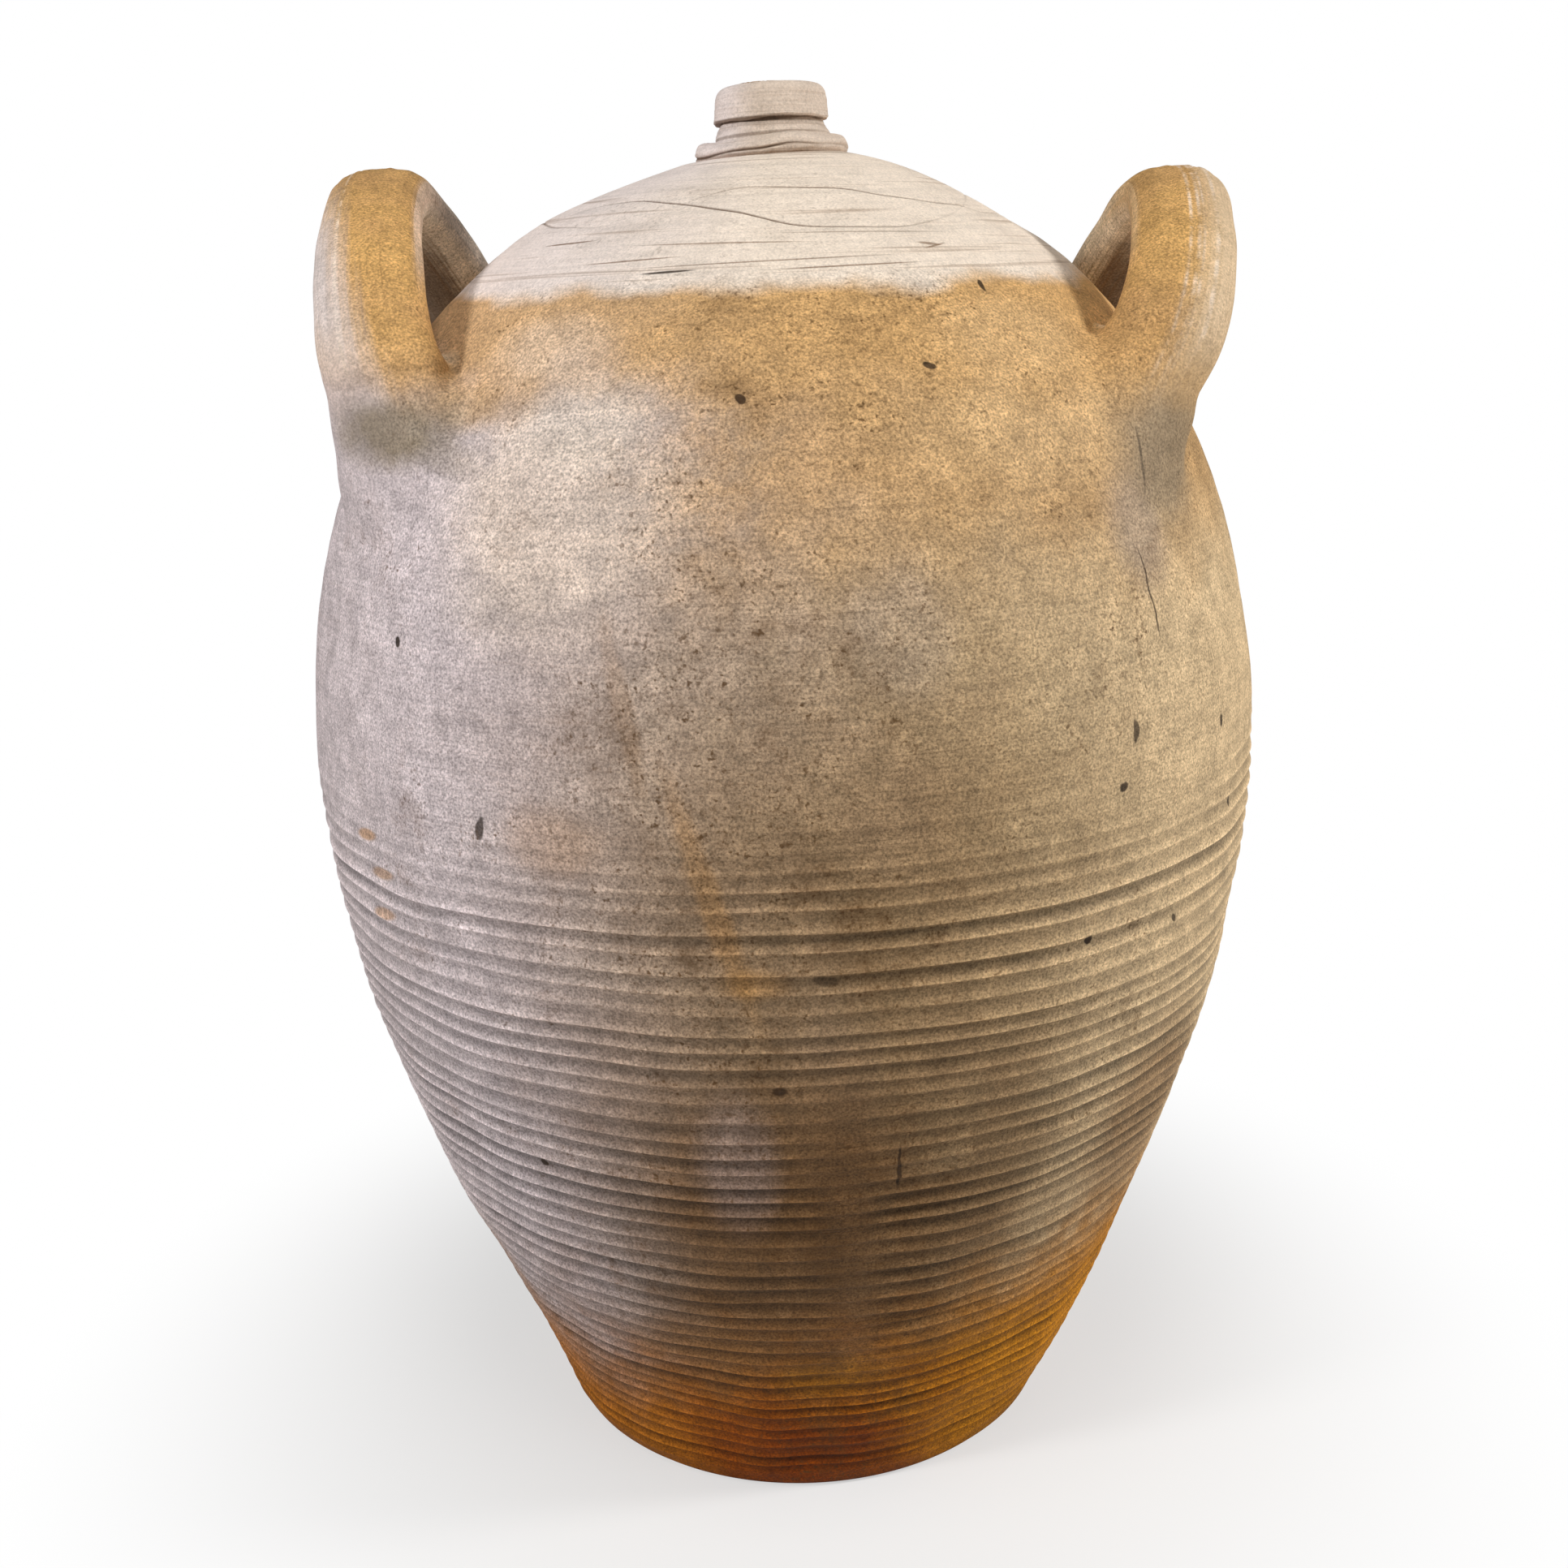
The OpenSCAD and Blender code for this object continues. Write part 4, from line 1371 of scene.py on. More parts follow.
        return {"place": place, "ragged": centred, "height": height, "radius": radius, "side": side, **noise}

    @staticmethod
    def reaching(colour_patches: tuple, low: float, high: float) -> list[ColourPatch]:
        """The patches of colour that reach between two heights."""
        return [s for s in colour_patches if s.height + 1.2 * s.high > low and s.height - 1.2 * s.high < high]

    @staticmethod
    def zone(finish: Finish, value: bpy.types.NodeSocket, noise: bpy.types.NodeSocket,
             start: float, end: float, wander: float = 0.0) -> bpy.types.NodeSocket:
        """A zone that opens from start to end of a value, with a border that wanders.

        Args:
            finish: The material under construction.
            value: What the zone is measured by.
            noise: The noise that moves the border.
            start: Where the zone starts.
            end: Where it is full.
            wander: How far the border wanders, in the value's own units.

        Returns:
            The zone's strength, from 0 to 1.
        """
        moved = finish.add("ShaderNodeMath", {0: noise, 1: 4 * wander, 2: value}, operation="MULTIPLY_ADD")
        back = finish.add("ShaderNodeMath", {0: moved, 1: -2 * wander}, operation="ADD")
        return finish.add("ShaderNodeMapRange", {
            "Value": back, "From Min": start, "From Max": end}, interpolation_type="SMOOTHSTEP")

    @staticmethod
    def lay(finish: Finish, under: bpy.types.NodeSocket, tone: Tone, cover: bpy.types.NodeSocket,
            strength: float = 1.0) -> bpy.types.NodeSocket:
        """Lays a tone over a colour, as far as a cover lets it.

        Args:
            finish: The material under construction.
            under: The colour below.
            tone: The tone on top.
            cover: Where it lies, from 0 to 1.
            strength: How much it covers at most.

        Returns:
            The new colour.
        """
        share = finish.add("ShaderNodeMath", {0: cover, 1: strength}, operation="MULTIPLY")
        return finish.add(
            "ShaderNodeMix", {0: share, 6: under, 7: tone.linear}, out=2, data_type="RGBA")

    def colour_patch(self, finish: Finish, at: dict, under: bpy.types.NodeSocket, colour_patch: ColourPatch) -> bpy.types.NodeSocket:
        """Lays one patch of colour over a colour.

        Args:
            finish: The material under construction.
            at: The shared sockets.
            under: The colour below.
            colour_patch: The patch of colour.

        Returns:
            The new colour.
        """
        outline, turn = self.surface.outline, math.radians(colour_patch.turn)
        radius = outline.place(outline.at_height(np.array([colour_patch.height])))[0, 0]
        small = max(colour_patch.wide, colour_patch.high) < 30 * MM or min(colour_patch.wide, colour_patch.high) < 2 * MM
        local = finish.add("ShaderNodeMapping", {
            "Vector": at["place"] if small and colour_patch.soft > 0.55 else at["ragged"],
            "Location": (radius * math.sin(turn), -radius * math.cos(turn), colour_patch.height),
            "Rotation": (0, math.radians(colour_patch.tilt), turn),
            "Scale": (colour_patch.wide, max(colour_patch.wide, colour_patch.high, colour_patch.deep), colour_patch.high),
        }, vector_type="TEXTURE")
        ball = finish.add("ShaderNodeTexGradient", {"Vector": local}, out="Fac", gradient_type="SPHERICAL")
        noise = finish.add("ShaderNodeMath", {
            0: at["speck"] if small else at["mottle"], 1: 0.5 if small else 0.9, 2: -0.25 if small else -0.45},
            operation="MULTIPLY_ADD")
        rough = finish.add("ShaderNodeMath", {0: noise, 1: ball, 2: ball}, operation="MULTIPLY_ADD")
        cover = finish.add("ShaderNodeMapRange", {
            "Value": rough, "From Min": 0.0, "From Max": max(colour_patch.soft * 0.75, 0.05)},
            interpolation_type="SMOOTHSTEP")
        return self.lay(finish, under, colour_patch.tone, cover, colour_patch.strength)

    def body_colour(self, finish: Finish, at: dict, low: float, high: float) -> bpy.types.NodeSocket:
        """The jar's colour from the foot to the crown, without the fine pepper, with painted shade towards the foot, in
        the middle and round the neck.

        Args:
            finish: The material under construction.
            at: The shared sockets.
            low: Height of the piece's lower end. Patches of colour that don't reach the piece are left out.
            high: Height of its upper end.

        Returns:
            The colour.
        """
        height, cloud, mottle, side = at["height"], at["cloud"], at["mottle"], at["side"]
        rightward = self.zone(finish, side, cloud, -0.62, 0.42, 0.16)
        colour = finish.add("ShaderNodeMix", {
            0: rightward, 6: Tone.COOL.linear, 7: Tone.WARM.linear}, out=2, data_type="RGBA")
        # The middle, front and back, turns brown and then umber lower down: partly the clay's own colour and partly
        # painted shade where less light reaches the middle.
        off_centre = finish.add("ShaderNodeMath", {0: side, 1: -0.04}, operation="ADD")
        off_centre = finish.add("ShaderNodeMath", {0: off_centre}, operation="ABSOLUTE")
        centre = self.zone(finish, off_centre, cloud, 0.72, 0.12, 0.1)
        below = self.zone(finish, height, cloud, 465 * MM, 300 * MM, 20 * MM)
        veil = finish.add("ShaderNodeMath", {0: centre, 1: below}, operation="MULTIPLY")
        colour = self.lay(finish, colour, Tone.MIDDLE, veil, 0.8)
        lower = self.zone(finish, height, cloud, 258 * MM, 155 * MM, 14 * MM)
        veil = finish.add("ShaderNodeMath", {0: centre, 1: lower}, operation="MULTIPLY")
        colour = self.lay(finish, colour, Tone.UMBER, veil, 0.8)
        tan = self.zone(finish, height, cloud, 372 * MM, 436 * MM, 18 * MM)
        rightward = self.zone(finish, side, mottle, -0.42, 0.05, 0.1)
        veil = finish.add("ShaderNodeMath", {0: tan, 1: rightward}, operation="MULTIPLY")
        colour = self.lay(finish, colour, Tone.TAN, veil, 0.75)
        # Painted shade: the colour darkens towards the foot, where less light falls on the lower wall.
        painted_lower_shade = finish.add("ShaderNodeMapRange", {
            "Value": height, "From Min": 330 * MM, "From Max": 130 * MM, "To Min": 1.0, "To Max": 0.77})
        colour = finish.add("ShaderNodeVectorMath", {0: colour, "Scale": painted_lower_shade}, operation="SCALE")
        singed = self.zone(finish, height, cloud, 134 * MM, 64 * MM, 22 * MM)
        colour = self.lay(finish, colour, Tone.UMBER, singed, 0.75)
        for colour_patch in self.reaching(self.BROAD_STAINS, low, high):
            colour = self.colour_patch(finish, at, colour, colour_patch)
        gold = self.zone(finish, height, cloud, 446 * MM, 478 * MM, 12 * MM)
        colour = self.lay(finish, colour, Tone.GOLD, gold, 0.85)
        slope = finish.add("ShaderNodeMath", {0: side, 1: -36 * MM, 2: height}, operation="MULTIPLY_ADD")
        drift = finish.add("ShaderNodeMix", {0: 0.45, 2: cloud, 3: mottle})
        flash = self.zone(finish, slope, drift, 126 * MM, 42 * MM, 26 * MM)
        colour = self.lay(finish, colour, Tone.AMBER, flash, 0.97)
        rightward = self.zone(finish, side, mottle, 0.05, 0.5, 0.12)
        veil = finish.add("ShaderNodeMath", {0: flash, 1: rightward}, operation="MULTIPLY")
        colour = self.lay(finish, colour, Tone.OCHRE, veil, 0.6)
        middle = self.zone(finish, off_centre, cloud, 0.6, 0.1, 0.14)
        scorched = self.zone(finish, height, cloud, 84 * MM, 30 * MM, 18 * MM)
        red = finish.add("ShaderNodeMath", {0: scorched, 1: middle}, operation="MULTIPLY")
        colour = self.lay(finish, colour, Tone.RED_BROWN, red, 0.8)
        bare = self.zone(finish, height, cloud, self.border - 3.5 * MM, self.border + 3.5 * MM, 6 * MM)
        colour = self.lay(finish, colour, Tone.BARE if low < self.surface.sizes.seat_z else Tone.NECK, bare, 0.95)
        leftward = self.zone(finish, side, cloud, 0.1, -0.8, 0.12)
        veil = finish.add("ShaderNodeMath", {0: bare, 1: leftward}, operation="MULTIPLY")
        colour = self.lay(finish, colour, Tone.LILAC, veil, 0.6)
        for colour_patch in self.reaching(self.STAINS_AND_PAINTED_SHADE, low, high):
            colour = self.colour_patch(finish, at, colour, colour_patch)
        return colour

    def pepper(self, finish: Finish, at: dict, colour: bpy.types.NodeSocket, thrown: bool = True,
               smoothed: bpy.types.NodeSocket | None = None) -> bpy.types.NodeSocket:
        """Adds the sand grain, the iron specks, worn crests with painted highlight, painted shade in the ridges'
        hollows and the dark of the cut lines.

        Args:
            finish: The material under construction.
            at: The shared sockets.
            colour: The colour below.
            thrown: Whether the wheel left its fine lines.
            smoothed: Where the pepper is weaker.

        Returns:
            The colour with its pepper.
        """
        add = finish.add
        dry = add("ShaderNodeMapRange", {
            "Value": at["height"], "From Min": self.border - 6 * MM, "From Max": self.border + 6 * MM})
        calm = add("ShaderNodeMath", {0: dry, 1: -0.68 if thrown else 0.0, 2: 1.0}, operation="MULTIPLY_ADD")
        if smoothed:
            calm = add("ShaderNodeMath", {0: smoothed, 1: -0.45, 2: calm}, operation="MULTIPLY_ADD")
        for noise, low, high, dark, light in (
                ("grain", 0.3, 0.7, 0.55, 1.44), ("speck", 0.34, 0.66, 1.08, 0.92), ("mottle", 0.3, 0.7, 0.78, 1.21)):
            tint = add("ShaderNodeMapRange", {
                "Value": at[noise], "From Min": low, "From Max": high, "To Min": dark - 1, "To Max": light - 1})
            tint = add("ShaderNodeMath", {0: tint, 1: calm, 2: 1.0}, operation="MULTIPLY_ADD")
            colour = add("ShaderNodeVectorMath", {0: colour, "Scale": tint}, operation="SCALE")
        edge = add("ShaderNodeMath", {0: at["side"]}, operation="ABSOLUTE")
        crowd = add("ShaderNodeMath", {0: edge, 1: -0.3, 2: at["cloud"]}, operation="MULTIPLY_ADD")
        crowd = add("ShaderNodeMath", {0: crowd, 1: at["mottle"]}, operation="ADD")
        crowd = add("ShaderNodeMapRange", {"Value": crowd, "From Min": 0.84, "From Max": 1.08, "To Min": 0.15})
        crowd = add("ShaderNodeMath", {0: crowd, 1: calm}, operation="MULTIPLY")
        for noise, low, high, strength in (("smudge", 0.48, 0.66, 0.55), ("speck", 0.54, 0.68, 0.45),
                                           ("iron", 0.6, 0.72, 0.8)):
            cover = add("ShaderNodeMapRange", {"Value": at[noise], "From Min": low, "From Max": high})
            cover = add("ShaderNodeMath", {0: cover, 1: crowd}, operation="MULTIPLY")
            colour = self.lay(finish, colour, Tone.DEEP_UMBER, cover, strength)
        if thrown:
            wiped = add("ShaderNodeMapRange", {"Value": at["wiped"], "From Min": 0.3, "From Max": 0.7,
                                               "To Min": 0.9, "To Max": 1.08})
            colour = add("ShaderNodeVectorMath", {0: colour, "Scale": wiped}, operation="SCALE")
            scratch = add("ShaderNodeMapRange", {"Value": at["wiped"], "From Min": 0.58, "From Max": 0.7})
            drier = add("ShaderNodeMapRange", {"Value": dry, "To Min": 0.08, "To Max": 0.48})
            scratch = add("ShaderNodeMath", {0: scratch, 1: drier}, operation="MULTIPLY")
            colour = self.lay(finish, colour, Tone.UMBER, scratch)
        # Painted light on the finger ridges: the crests are lighter, partly worn clay and partly painted highlight, and
        # the hollows below them are darker with painted shade.
        ridge = add("ShaderNodeAttribute", out="Fac", attribute_name="ridge")
        worn = add("ShaderNodeMapRange", {
            "Value": ridge, "From Min": -1.5, "From Max": 1.5, "To Min": 0.5, "To Max": 1.6})
        colour = add("ShaderNodeVectorMath", {0: colour, "Scale": worn}, operation="SCALE")
        groove = add("ShaderNodeAttribute", out="Fac", attribute_name="groove")
        dark = add("ShaderNodeMapRange", {"Value": groove, "From Min": 0.12, "From Max": 0.7, "To Max": 0.8})
        return self.lay(finish, colour, Tone.DEEP_UMBER, dark)

    def relief(self, finish: Finish, at: dict) -> bpy.types.NodeSocket:
        """The skin's fine relief in metres: orange peel and sand, with wiped lines on the crown.

        Args:
            finish: The material under construction.
            at: The shared sockets.

        Returns:
            The height.
        """
        add = finish.add
        peel = add("ShaderNodeMath", {0: at["peel"], 1: 0.25 * MM}, operation="MULTIPLY")
        sand = add("ShaderNodeMath", {0: at["grain"], 1: 0.22 * MM, 2: peel}, operation="MULTIPLY_ADD")
        wiped = add("ShaderNodeMath", {0: at["wiped"], 1: 0.4 * MM, 2: sand}, operation="MULTIPLY_ADD")
        ridge = add("ShaderNodeAttribute", out="Fac", attribute_name="ridge")
        return add("ShaderNodeMath", {0: ridge, 1: 0.1 * MM, 2: wiped}, operation="MULTIPLY_ADD")

    def roughness(self, finish: Finish, at: dict) -> bpy.types.NodeSocket:
        """Satin where the salt glazed the skin, and dry on the bare crown.

        Args:
            finish: The material under construction.
            at: The shared sockets.

        Returns:
            The roughness.
        """
        add = finish.add
        dry = add("ShaderNodeMapRange", {
            "Value": at["height"], "From Min": self.border - 8 * MM, "From Max": self.border + 8 * MM,
            "To Min": 0.56, "To Max": 0.86})
        return add("ShaderNodeMath", {0: at["mottle"], 1: 0.12, 2: dry}, operation="MULTIPLY_ADD")

    def wall(self, name: str, low: float, high: float) -> bpy.types.Material:
        """The finish of a thrown or luted piece between two heights.

        Args:
            name: The material's name.
            low: Height of the piece's lower end.
            high: Height of its upper end.

        Returns:
            The material.
        """
        finish = Finish(name)
        at = self.place_of(finish)
        colour = self.pepper(finish, at, self.body_colour(finish, at, low, high))
        return finish.finish(colour, self.roughness(finish, at), self.relief(finish, at))

    def strap(self, name: str, pale: Tone, pale_lines: tuple, pale_from: float, pale_to: float,
              pale_top: float, pale_slant: float, loop_shade_from: float, loop_shade_to: float,
              loop_shade_top: float) -> bpy.types.Material:
        """The straps' finish: golden tan with pale streaks along the pull, grey at the roots, and painted shade inside
        the loop.

        Args:
            name: The material's name.
            pale: The pale side's tone.
            pale_lines: Places of the palest lines across the strap.
            pale_from: Where the pale side starts across the strap.
            pale_to: Where it is full.
            pale_top: Height at which it fades.
            pale_slant: How much it broadens on the way down.
            loop_shade_from: Where the painted shade on the back leg inside the loop starts across the strap.
            loop_shade_to: Where the painted shade is full.
            loop_shade_top: Height at which the painted shade fades.

        Returns:
            The material.
        """
        finish = Finish(name)
        add, at = finish.add, self.place_of(finish)
        pulled = add("ShaderNodeAttribute", out="Vector", attribute_name="pulled")
        across = add("ShaderNodeSeparateXYZ", {0: pulled}, out="X")
        face = add("ShaderNodeSeparateXYZ", {0: pulled}, out="Y")
        y = add("ShaderNodeSeparateXYZ", {0: at["place"]}, out="Y")
        drawn = add("ShaderNodeVectorMath", {0: pulled, 1: (420, 420, 9)}, operation="MULTIPLY")
        streak = add("ShaderNodeTexNoise", {"Vector": drawn, "Scale": 1.0, "Detail": 4.0, "Roughness": 0.7})
        body = self.body_colour(finish, at, 405 * MM, 500 * MM)
        tan = self.zone(finish, at["cloud"], at["mottle"], 0.3, 0.7, 0.1)
        gold = add("ShaderNodeMix", {
            0: tan, 6: Tone.STRAP_GOLD.linear, 7: Tone.TAN.linear}, out=2, data_type="RGBA")
        grey = self.zone(finish, y, streak, -10 * MM, 45 * MM, 12 * MM)
        gold = self.lay(finish, gold, Tone.STRAP_GREY, grey, 0.7)
        slanted = add("ShaderNodeMath", {0: at["height"], 1: -pale_slant, 2: across}, operation="MULTIPLY_ADD")
        shift = -pale_slant * 540 * MM
        outer = self.zone(finish, slanted, streak, pale_from + shift, pale_to + shift, 3.5 * MM)
        below = self.zone(finish, at["height"], at["mottle"], pale_top + 18 * MM, pale_top - 18 * MM, 6 * MM)
        outer = add("ShaderNodeMath", {0: outer, 1: below}, operation="MULTIPLY")
        gold = self.lay(finish, gold, pale, outer, 0.8)
        drawn_out = add("ShaderNodeMapRange", {
            "Value": streak, "From Min": 0.35, "From Max": 0.65, "To Min": -0.13, "To Max": 0.09})
        drawn_out = add("ShaderNodeMath", {0: drawn_out, 1: outer, 2: 1.0}, operation="MULTIPLY_ADD")
        gold = add("ShaderNodeVectorMath", {0: gold, "Scale": drawn_out}, operation="SCALE")
        rim = self.zone(finish, across, streak, -16 * MM, -18.5 * MM, 1 * MM)
        high = self.zone(finish, at["height"], streak, 492 * MM, 512 * MM, 4 * MM)
        rim = add("ShaderNodeMath", {0: rim, 1: high}, operation="MULTIPLY")
        gold = self.lay(finish, gold, pale, rim, 0.35)
        for place in pale_lines:
            near = add("ShaderNodeMath", {0: across, 1: -place}, operation="ADD")
            near = add("ShaderNodeMath", {0: near}, operation="ABSOLUTE")
            line = self.zone(finish, near, streak, 1.1 * MM, 0.1 * MM, 0.5 * MM)
            broken = add("ShaderNodeMapRange", {"Value": at["mottle"], "From Min": 0.4, "From Max": 0.6})
            line = add("ShaderNodeMath", {0: line, 1: broken}, operation="MULTIPLY")
            gold = self.lay(finish, gold, Tone.BARE, line, 0.5)
        under = self.zone(finish, face, streak, -1 * MM, -7 * MM, 1.5 * MM)
        gold = self.lay(finish, gold, Tone.STRAP_GREY, under, 0.75)
        # Painted shade inside the loop: the back leg's lower part darkens where little light reaches into the handle.
        loop_shade = self.zone(finish, at["height"], streak, loop_shade_top + 18 * MM, loop_shade_top - 18 * MM, 10 * MM)
        loop_shade = add("ShaderNodeMath", {0: loop_shade, 1: grey}, operation="MULTIPLY")
        edge = self.zone(finish, across, streak, loop_shade_from, loop_shade_to, 4 * MM)
        loop_shade = add("ShaderNodeMath", {0: loop_shade, 1: edge}, operation="MULTIPLY")
        gold = self.lay(finish, gold, Tone.DEEP_UMBER, loop_shade, 0.85)
        dark = self.zone(finish, streak, at["speck"], 0.52, 0.72, 0.02)
        gold = self.lay(finish, gold, Tone.UMBER, dark, 0.35)
        risen = self.zone(finish, at["height"], at["cloud"], 446 * MM, 486 * MM, 12 * MM)
        spread = add("ShaderNodeAttribute", out="Fac", attribute_name="spread")
        kept = add("ShaderNodeMapRange", {"Value": spread, "From Min": 0.25, "From Max": 0.85, "To Min": 1.0, "To Max": 0.0})
        risen = add("ShaderNodeMath", {0: risen, 1: kept}, operation="MULTIPLY")
        colour = add("ShaderNodeMix", {0: risen, 6: body, 7: gold}, out=2, data_type="RGBA")
        smoothed = add("ShaderNodeMath", {0: outer, 1: kept}, operation="MULTIPLY")
        colour = self.pepper(finish, at, colour, thrown=False, smoothed=smoothed)
        peel = add("ShaderNodeMath", {0: at["grain"], 1: 0.2 * MM}, operation="MULTIPLY")
        height = add("ShaderNodeMath", {0: streak, 1: 0.45 * MM, 2: peel}, operation="MULTIPLY_ADD")
        rough = add("ShaderNodeMath", {0: at["mottle"], 1: 0.12, 2: 0.56}, operation="MULTIPLY_ADD")
        return finish.finish(colour, rough, height)


@dataclass(frozen=True)
class CorkBark:
    """Natural cork: a matt, warm brown bark with darker pores that run across it."""

    grain: float = 1.4 * MM
    pore: float = 3.5 * MM

    def build(self) -> bpy.types.Material:
        """Makes the material."""
        finish = Finish("natural_cork")
        add = finish.add
        place = add("ShaderNodeTexCoord", out="Object")
        fine = add("ShaderNodeTexNoise", {"Vector": place, "Scale": 1 / self.grain, "Detail": 3.0})
        stretched = add("ShaderNodeVectorMath", {0: place, 1: (1, 1, 2.5)}, operation="MULTIPLY")
        pore = add("ShaderNodeTexNoise", {"Vector": stretched, "Scale": 1 / self.pore, "Detail": 4.0})
        dark = add("ShaderNodeMapRange", {"Value": pore, "From Min": 0.56, "From Max": 0.68})
        colour = add("ShaderNodeMix", {
            0: dark, 6: Tone.CORK.linear, 7: Tone.CORK_DARK.linear}, out=2, data_type="RGBA")
        colour = add("ShaderNodeMix", {0: fine, 6: colour, 7: (0.8, 0.76, 0.7, 1)}, out=2,
                     data_type="RGBA", blend_type="MULTIPLY")
        rough = add("ShaderNodeMapRange", {"Value": fine, "To Min": 0.78, "To Max": 0.92})
        height = add("ShaderNodeMath", {0: dark, 1: -0.3 * MM}, operation="MULTIPLY")
        return finish.finish(colour, rough, height, ior=1.45)


@dataclass(frozen=True)
class Stage:
    """The pale floor, the soft studio light and the camera.

    Attributes:
        camera_place: Where the camera stands.
        pitch: How far it looks down, in degrees.
        roll: How far it is rolled, in degrees.
        lens: Its focal length on a sensor 36 mm wide.
        key_power: Power of the lamp high in front, in watts.
        side_power: Power of each of the two lamps beside the jar, in watts.
        fill: Strength of the light from all round.
    """

    camera_place: tuple[float, float, float] = (0.0, -0.7258, 0.4892)
    pitch: float = 15.98
    roll: float = -2.21
    lens: float = 38.85
    key_power: float = 12.0
    side_power: float = 13.0
    fill: float = 0.125
    floor_size: float = 12.0

    def camera(self) -> None:
        """Sets up the camera at the photograph's viewing angle."""
        data = bpy.data.cameras.new("studio_camera")
        data.lens, data.sensor_width, data.sensor_fit = self.lens, 36, "AUTO"
        data.clip_start, data.clip_end = 0.02, 60
        camera = bpy.data.objects.new("studio_camera", data)
        bpy.context.scene.collection.objects.link(camera)
        turn = Matrix.Rotation(math.radians(90 - self.pitch), 4, "X") @ Matrix.Rotation(math.radians(self.roll), 4, "Z")
        camera.matrix_world = Matrix.Translation(self.camera_place) @ turn
        bpy.context.scene.camera = camera

    def lamp(self, name: str, place: tuple, size: float, power: float) -> None:
        """Adds a soft square lamp that faces the jar.

        Args:
            name: The lamp's name.
            place: Where it stands.
            size: Its side.
            power: Its power in watts.
        """
        data = bpy.data.lights.new(name, "AREA")
        data.shape, data.size, data.energy = "SQUARE", size, power
        lamp = bpy.data.objects.new(name, data)
        bpy.context.scene.collection.objects.link(lamp)
        direction = np.array(place) - np.array([0, 0, 0.3])
        across = math.hypot(direction[0], direction[1])
        lamp.rotation_euler = (math.atan2(across, direction[2]), 0, math.atan2(direction[0], -direction[1]))
        lamp.location = place

    def world(self) -> None:
        """Lights the jar softly from all round, and shows white behind it."""
        world = bpy.data.worlds.new("studio")
        bpy.context.scene.world = world
        world.use_nodes = True
        tree = world.node_tree
        path = tree.nodes.new("ShaderNodeLightPath")
        strength = tree.nodes.new("ShaderNodeMapRange")
        strength.inputs["To Min"].default_value = self.fill
        strength.inputs["To Max"].default_value = 1.0
        tree.links.new(path.outputs["Is Camera Ray"], strength.inputs["Value"])
        tree.nodes["Background"].inputs["Color"].default_value = (1, 1, 1, 1)
        tree.links.new(strength.outputs[0], tree.nodes["Background"].inputs["Strength"])

    def floor(self) -> None:
        """Lays the pale floor, which fades into the white behind it and keeps the jar's shadow."""
        Bench.clear_selection()
        bpy.ops.mesh.primitive_plane_add(size=self.floor_size, location=(0, 0, 0))
        floor = Bench.named("studio_floor")
        finish = Finish("pale_floor")
        add = finish.add
        place = add("ShaderNodeTexCoord", out="Object")
        away = add("ShaderNodeVectorMath", {0: place}, out="Value", operation="LENGTH")
        fade = add("ShaderNodeMapRange", {
            "Value": away, "From Min": 0.14, "From Max": 0.38, "To Min": 0.55}, interpolation_type="SMOOTHSTEP")
        camera = add("ShaderNodeLightPath", out="Is Camera Ray")
        share = add("ShaderNodeMath", {0: fade, 1: camera}, operation="MULTIPLY")
        finish.shader.inputs["Base Color"].default_value = Tone.STAGE.linear
        finish.shader.inputs["Roughness"].default_value = 0.9
        finish.shader.inputs["Specular IOR Level"].default_value = 0.1
        white = add("ShaderNodeEmission", {"Strength": 1.0})
        mixed = add("ShaderNodeMixShader", {0: share, 1: finish.shader.outputs[0], 2: white})
        output = finish.tree.nodes["Material Output"]
        finish.tree.links.new(mixed, output.inputs["Surface"])
        floor.data.materials.append(finish.material)

    def build(self) -> None:
        """Sets up the whole stage."""
        self.camera()
        self.lamp("key_softbox", (-0.05, -0.85, 2.0), 0.7, self.key_power)
        self.lamp("left_softbox", (-1.15, -0.85, 1.0), 0.25, 0.89 * self.side_power)
        self.lamp("right_softbox", (1.42, -0.35, 0.95), 0.25, 1.13 * self.side_power)
        self.world()
        self.floor()
        bpy.context.scene.view_settings.view_transform = "Standard"


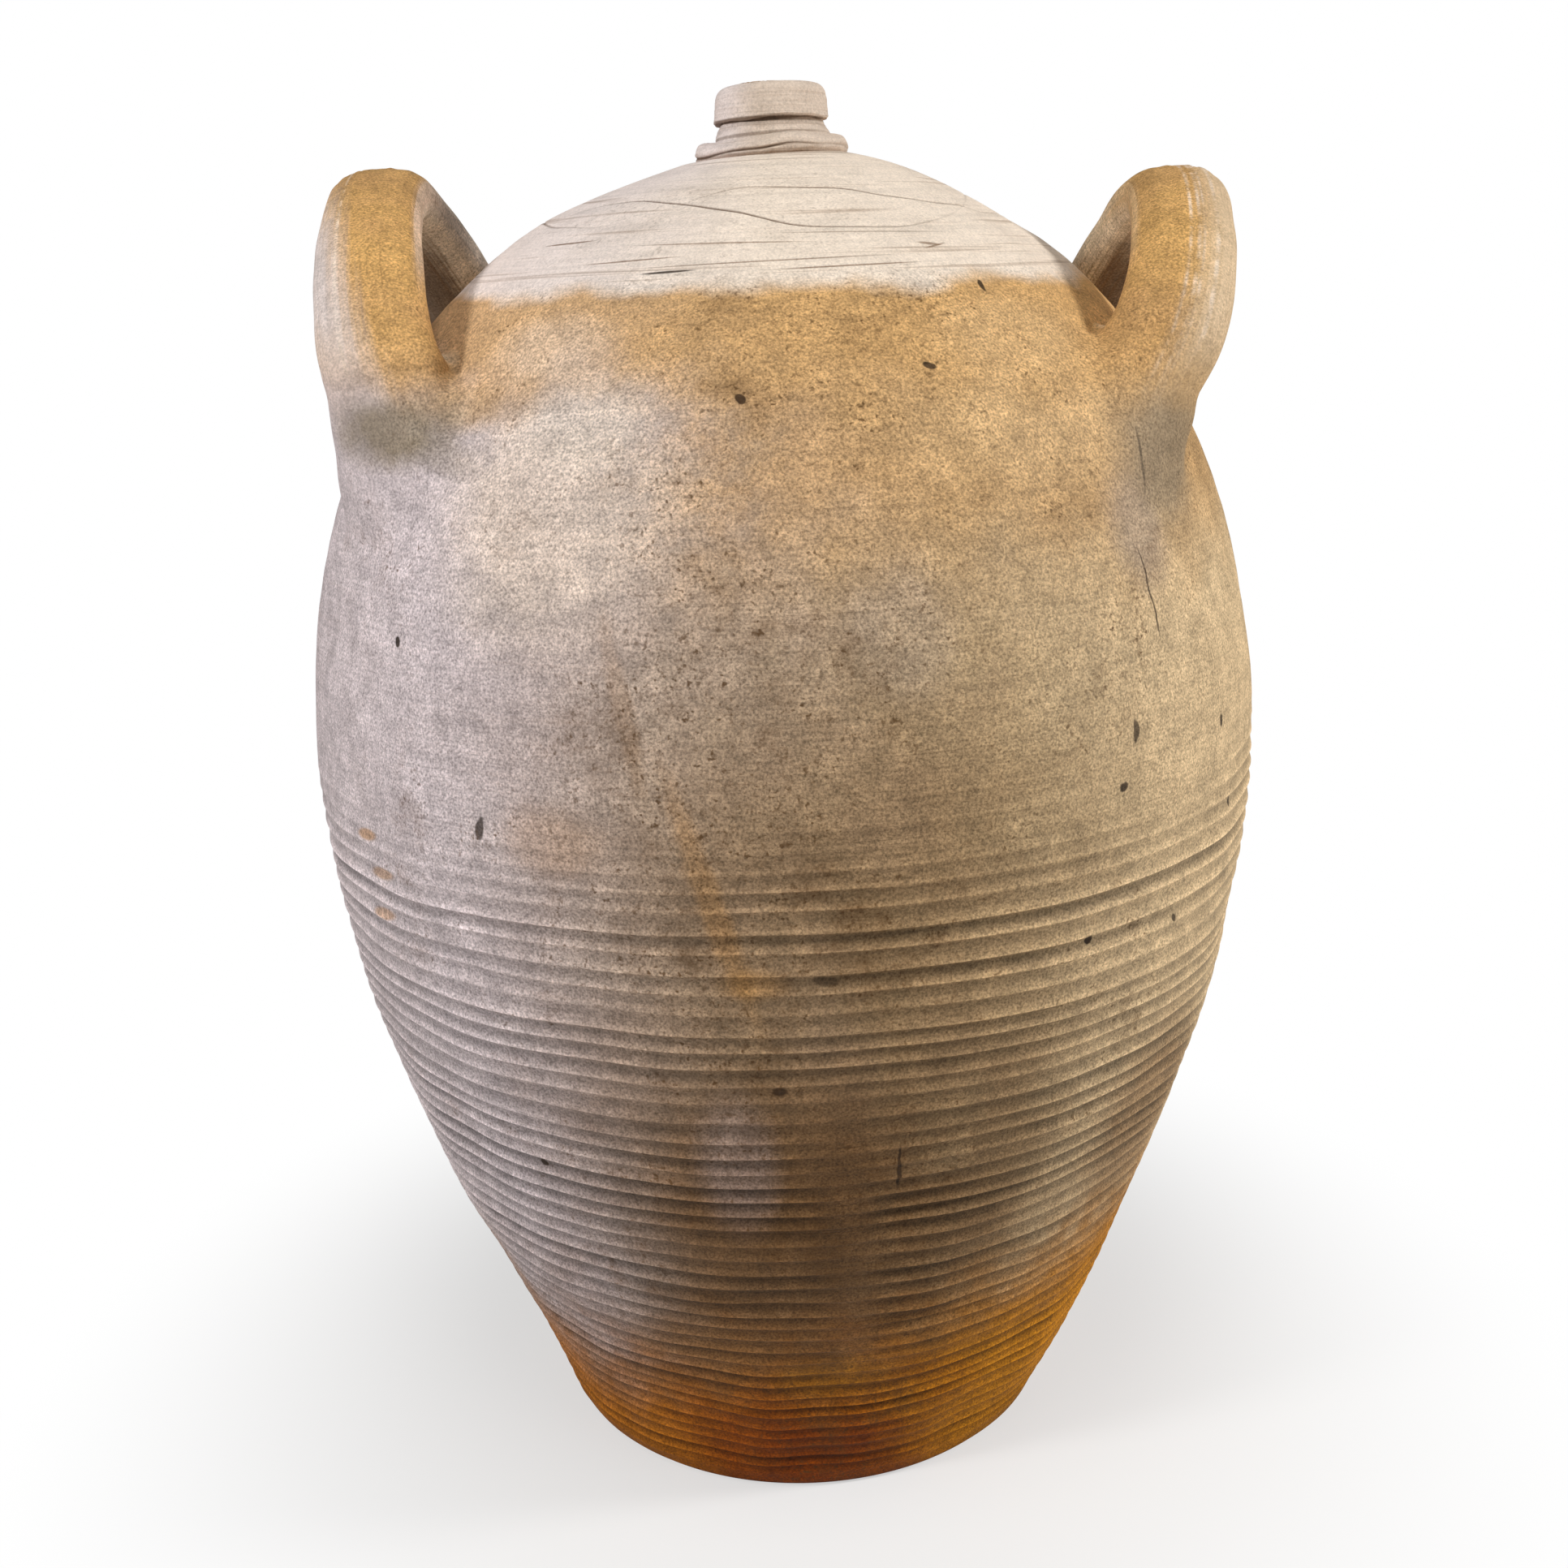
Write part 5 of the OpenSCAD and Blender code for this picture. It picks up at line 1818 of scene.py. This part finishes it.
class StorageJar:
    """The whole jar: its sub-assemblies, their finishes and the bodies that they ride on."""

    SLOTS = {
        "base_slab": "foot_clay", "lower_wall": "wall_clay", "belly_wall": "wall_clay",
        "shoulder_dome": "crown_clay", "neck_collar": "lute_clay", "neck": "crown_clay", "lip_ring": "crown_clay",
        "left_handle": "strap_clay", "right_handle": "strap_clay", "left_front_lute": "lute_clay",
        "left_back_lute": "lute_clay", "right_front_lute": "lute_clay", "right_back_lute": "lute_clay",
        "cork_stopper": "cork",
    }

    def __init__(self) -> None:
        """Sets out the jar's face, which all its pieces share."""
        self.surface = ThrownSurface(BodySizes())
        self.clay = FiredStoneware(self.surface)

    def handles(self) -> list[PulledHandle]:
        """The two handles, each as its own pull came out."""
        return [
            PulledHandle(
                self.surface, "left", -1, rise=66 * MM, out=18.5 * MM, lean=22, spread=11, front=36, back=39,
                front_root=Root(out=(38 * MM, 20 * MM, 36 * MM, 7 * MM), up=(26 * MM, 22 * MM, 40 * MM, 5 * MM)),
                back_root=Root(
                    out=(30 * MM, 18 * MM, 42 * MM, 5 * MM), up=(24 * MM, 20 * MM, 54 * MM, 6 * MM),
                    hollow=(0.62, 0.62, 0.08, 0.62)),
                welts=(0.5, 0.74)),
            PulledHandle(
                self.surface, "right", 1, rise=55.5 * MM, out=21 * MM, lean=35, spread=-19, front=32, back=31,
                front_root=Root(
                    out=(42 * MM, 20 * MM, 16 * MM, 6 * MM), up=(26 * MM, 22 * MM, 26 * MM, 5 * MM),
                    hollow=(0.5, 0.62, 0.45, 0.62)),
                back_root=Root(out=(30 * MM, 18 * MM, 26 * MM, 5 * MM), up=(24 * MM, 20 * MM, 30 * MM, 6 * MM)),
                welts=(0.08, 0.3, 0.62)),
        ]

    def dress(self, pieces: dict[str, bpy.types.Object], material: bpy.types.Material, body: str = "jar") -> None:
        """Gives pieces their finish and ties each to its node and body.

        Args:
            pieces: Each piece by the node that it stands for.
            material: Their finish.
            body: The body that they ride on.
        """
        for node, piece in pieces.items():
            piece.data.materials.clear()
            piece.data.materials.append(material)
            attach(piece, body)
            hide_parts(node)
            log.info("%s stands for %s, %d faces", piece.name, node, len(piece.data.polygons))

    def build(self) -> None:
        """Builds and dresses every piece."""
        sizes, top = self.surface.sizes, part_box("lip_ring")[1].z
        walls = ThrownBody(self.surface).build()
        for node, name, low, high in (
                ("base_slab", "flashed_foot", 0, sizes.floor_z),
                ("lower_wall", "flashed_stoneware", sizes.floor_z, sizes.low_join_z),
                ("belly_wall", "salt_fired_stoneware", sizes.low_join_z, sizes.high_join_z),
                ("shoulder_dome", "salt_fired_and_bare_crown", sizes.high_join_z, sizes.seat_z)):
            self.dress({node: walls[node]}, self.clay.wall(name, low, high))
        self.dress(BottleNeck(self.surface).build(), self.clay.wall("bare_neck", sizes.seat_z, top))
        for handle in self.handles():
            left = handle.side < 0
            finish = self.clay.strap(
                f"{handle.prefix}_pulled_strap",
                pale=Tone.STRAP_PALE if left else Tone.STRAP_BEIGE,
                pale_lines=(9.6 * MM,) if left else (1.2 * MM, 4.4 * MM, 6 * MM, 11 * MM),
                pale_from=(6.0 if left else 1.0) * MM,
                pale_to=(22.0 if left else 16.0) * MM,
                pale_top=(532 if left else 600) * MM,
                pale_slant=0.17 if left else 0.05,
                # Where the painted shade inside each handle's loop lies.
                loop_shade_from=(-14 if left else -19) * MM,
                loop_shade_to=(-3 if left else -9) * MM,
                loop_shade_top=(530 if left else 556) * MM)
            self.dress(handle.build(), finish)
        self.dress(Cork().build(), CorkBark().build(), "stopper")


def main() -> None:
    """Builds the stage and the jar."""
    logging.basicConfig(level=logging.INFO, format="%(name)s: %(message)s")
    Stage().build()
    StorageJar().build()


if __name__ == "__main__":
    main()
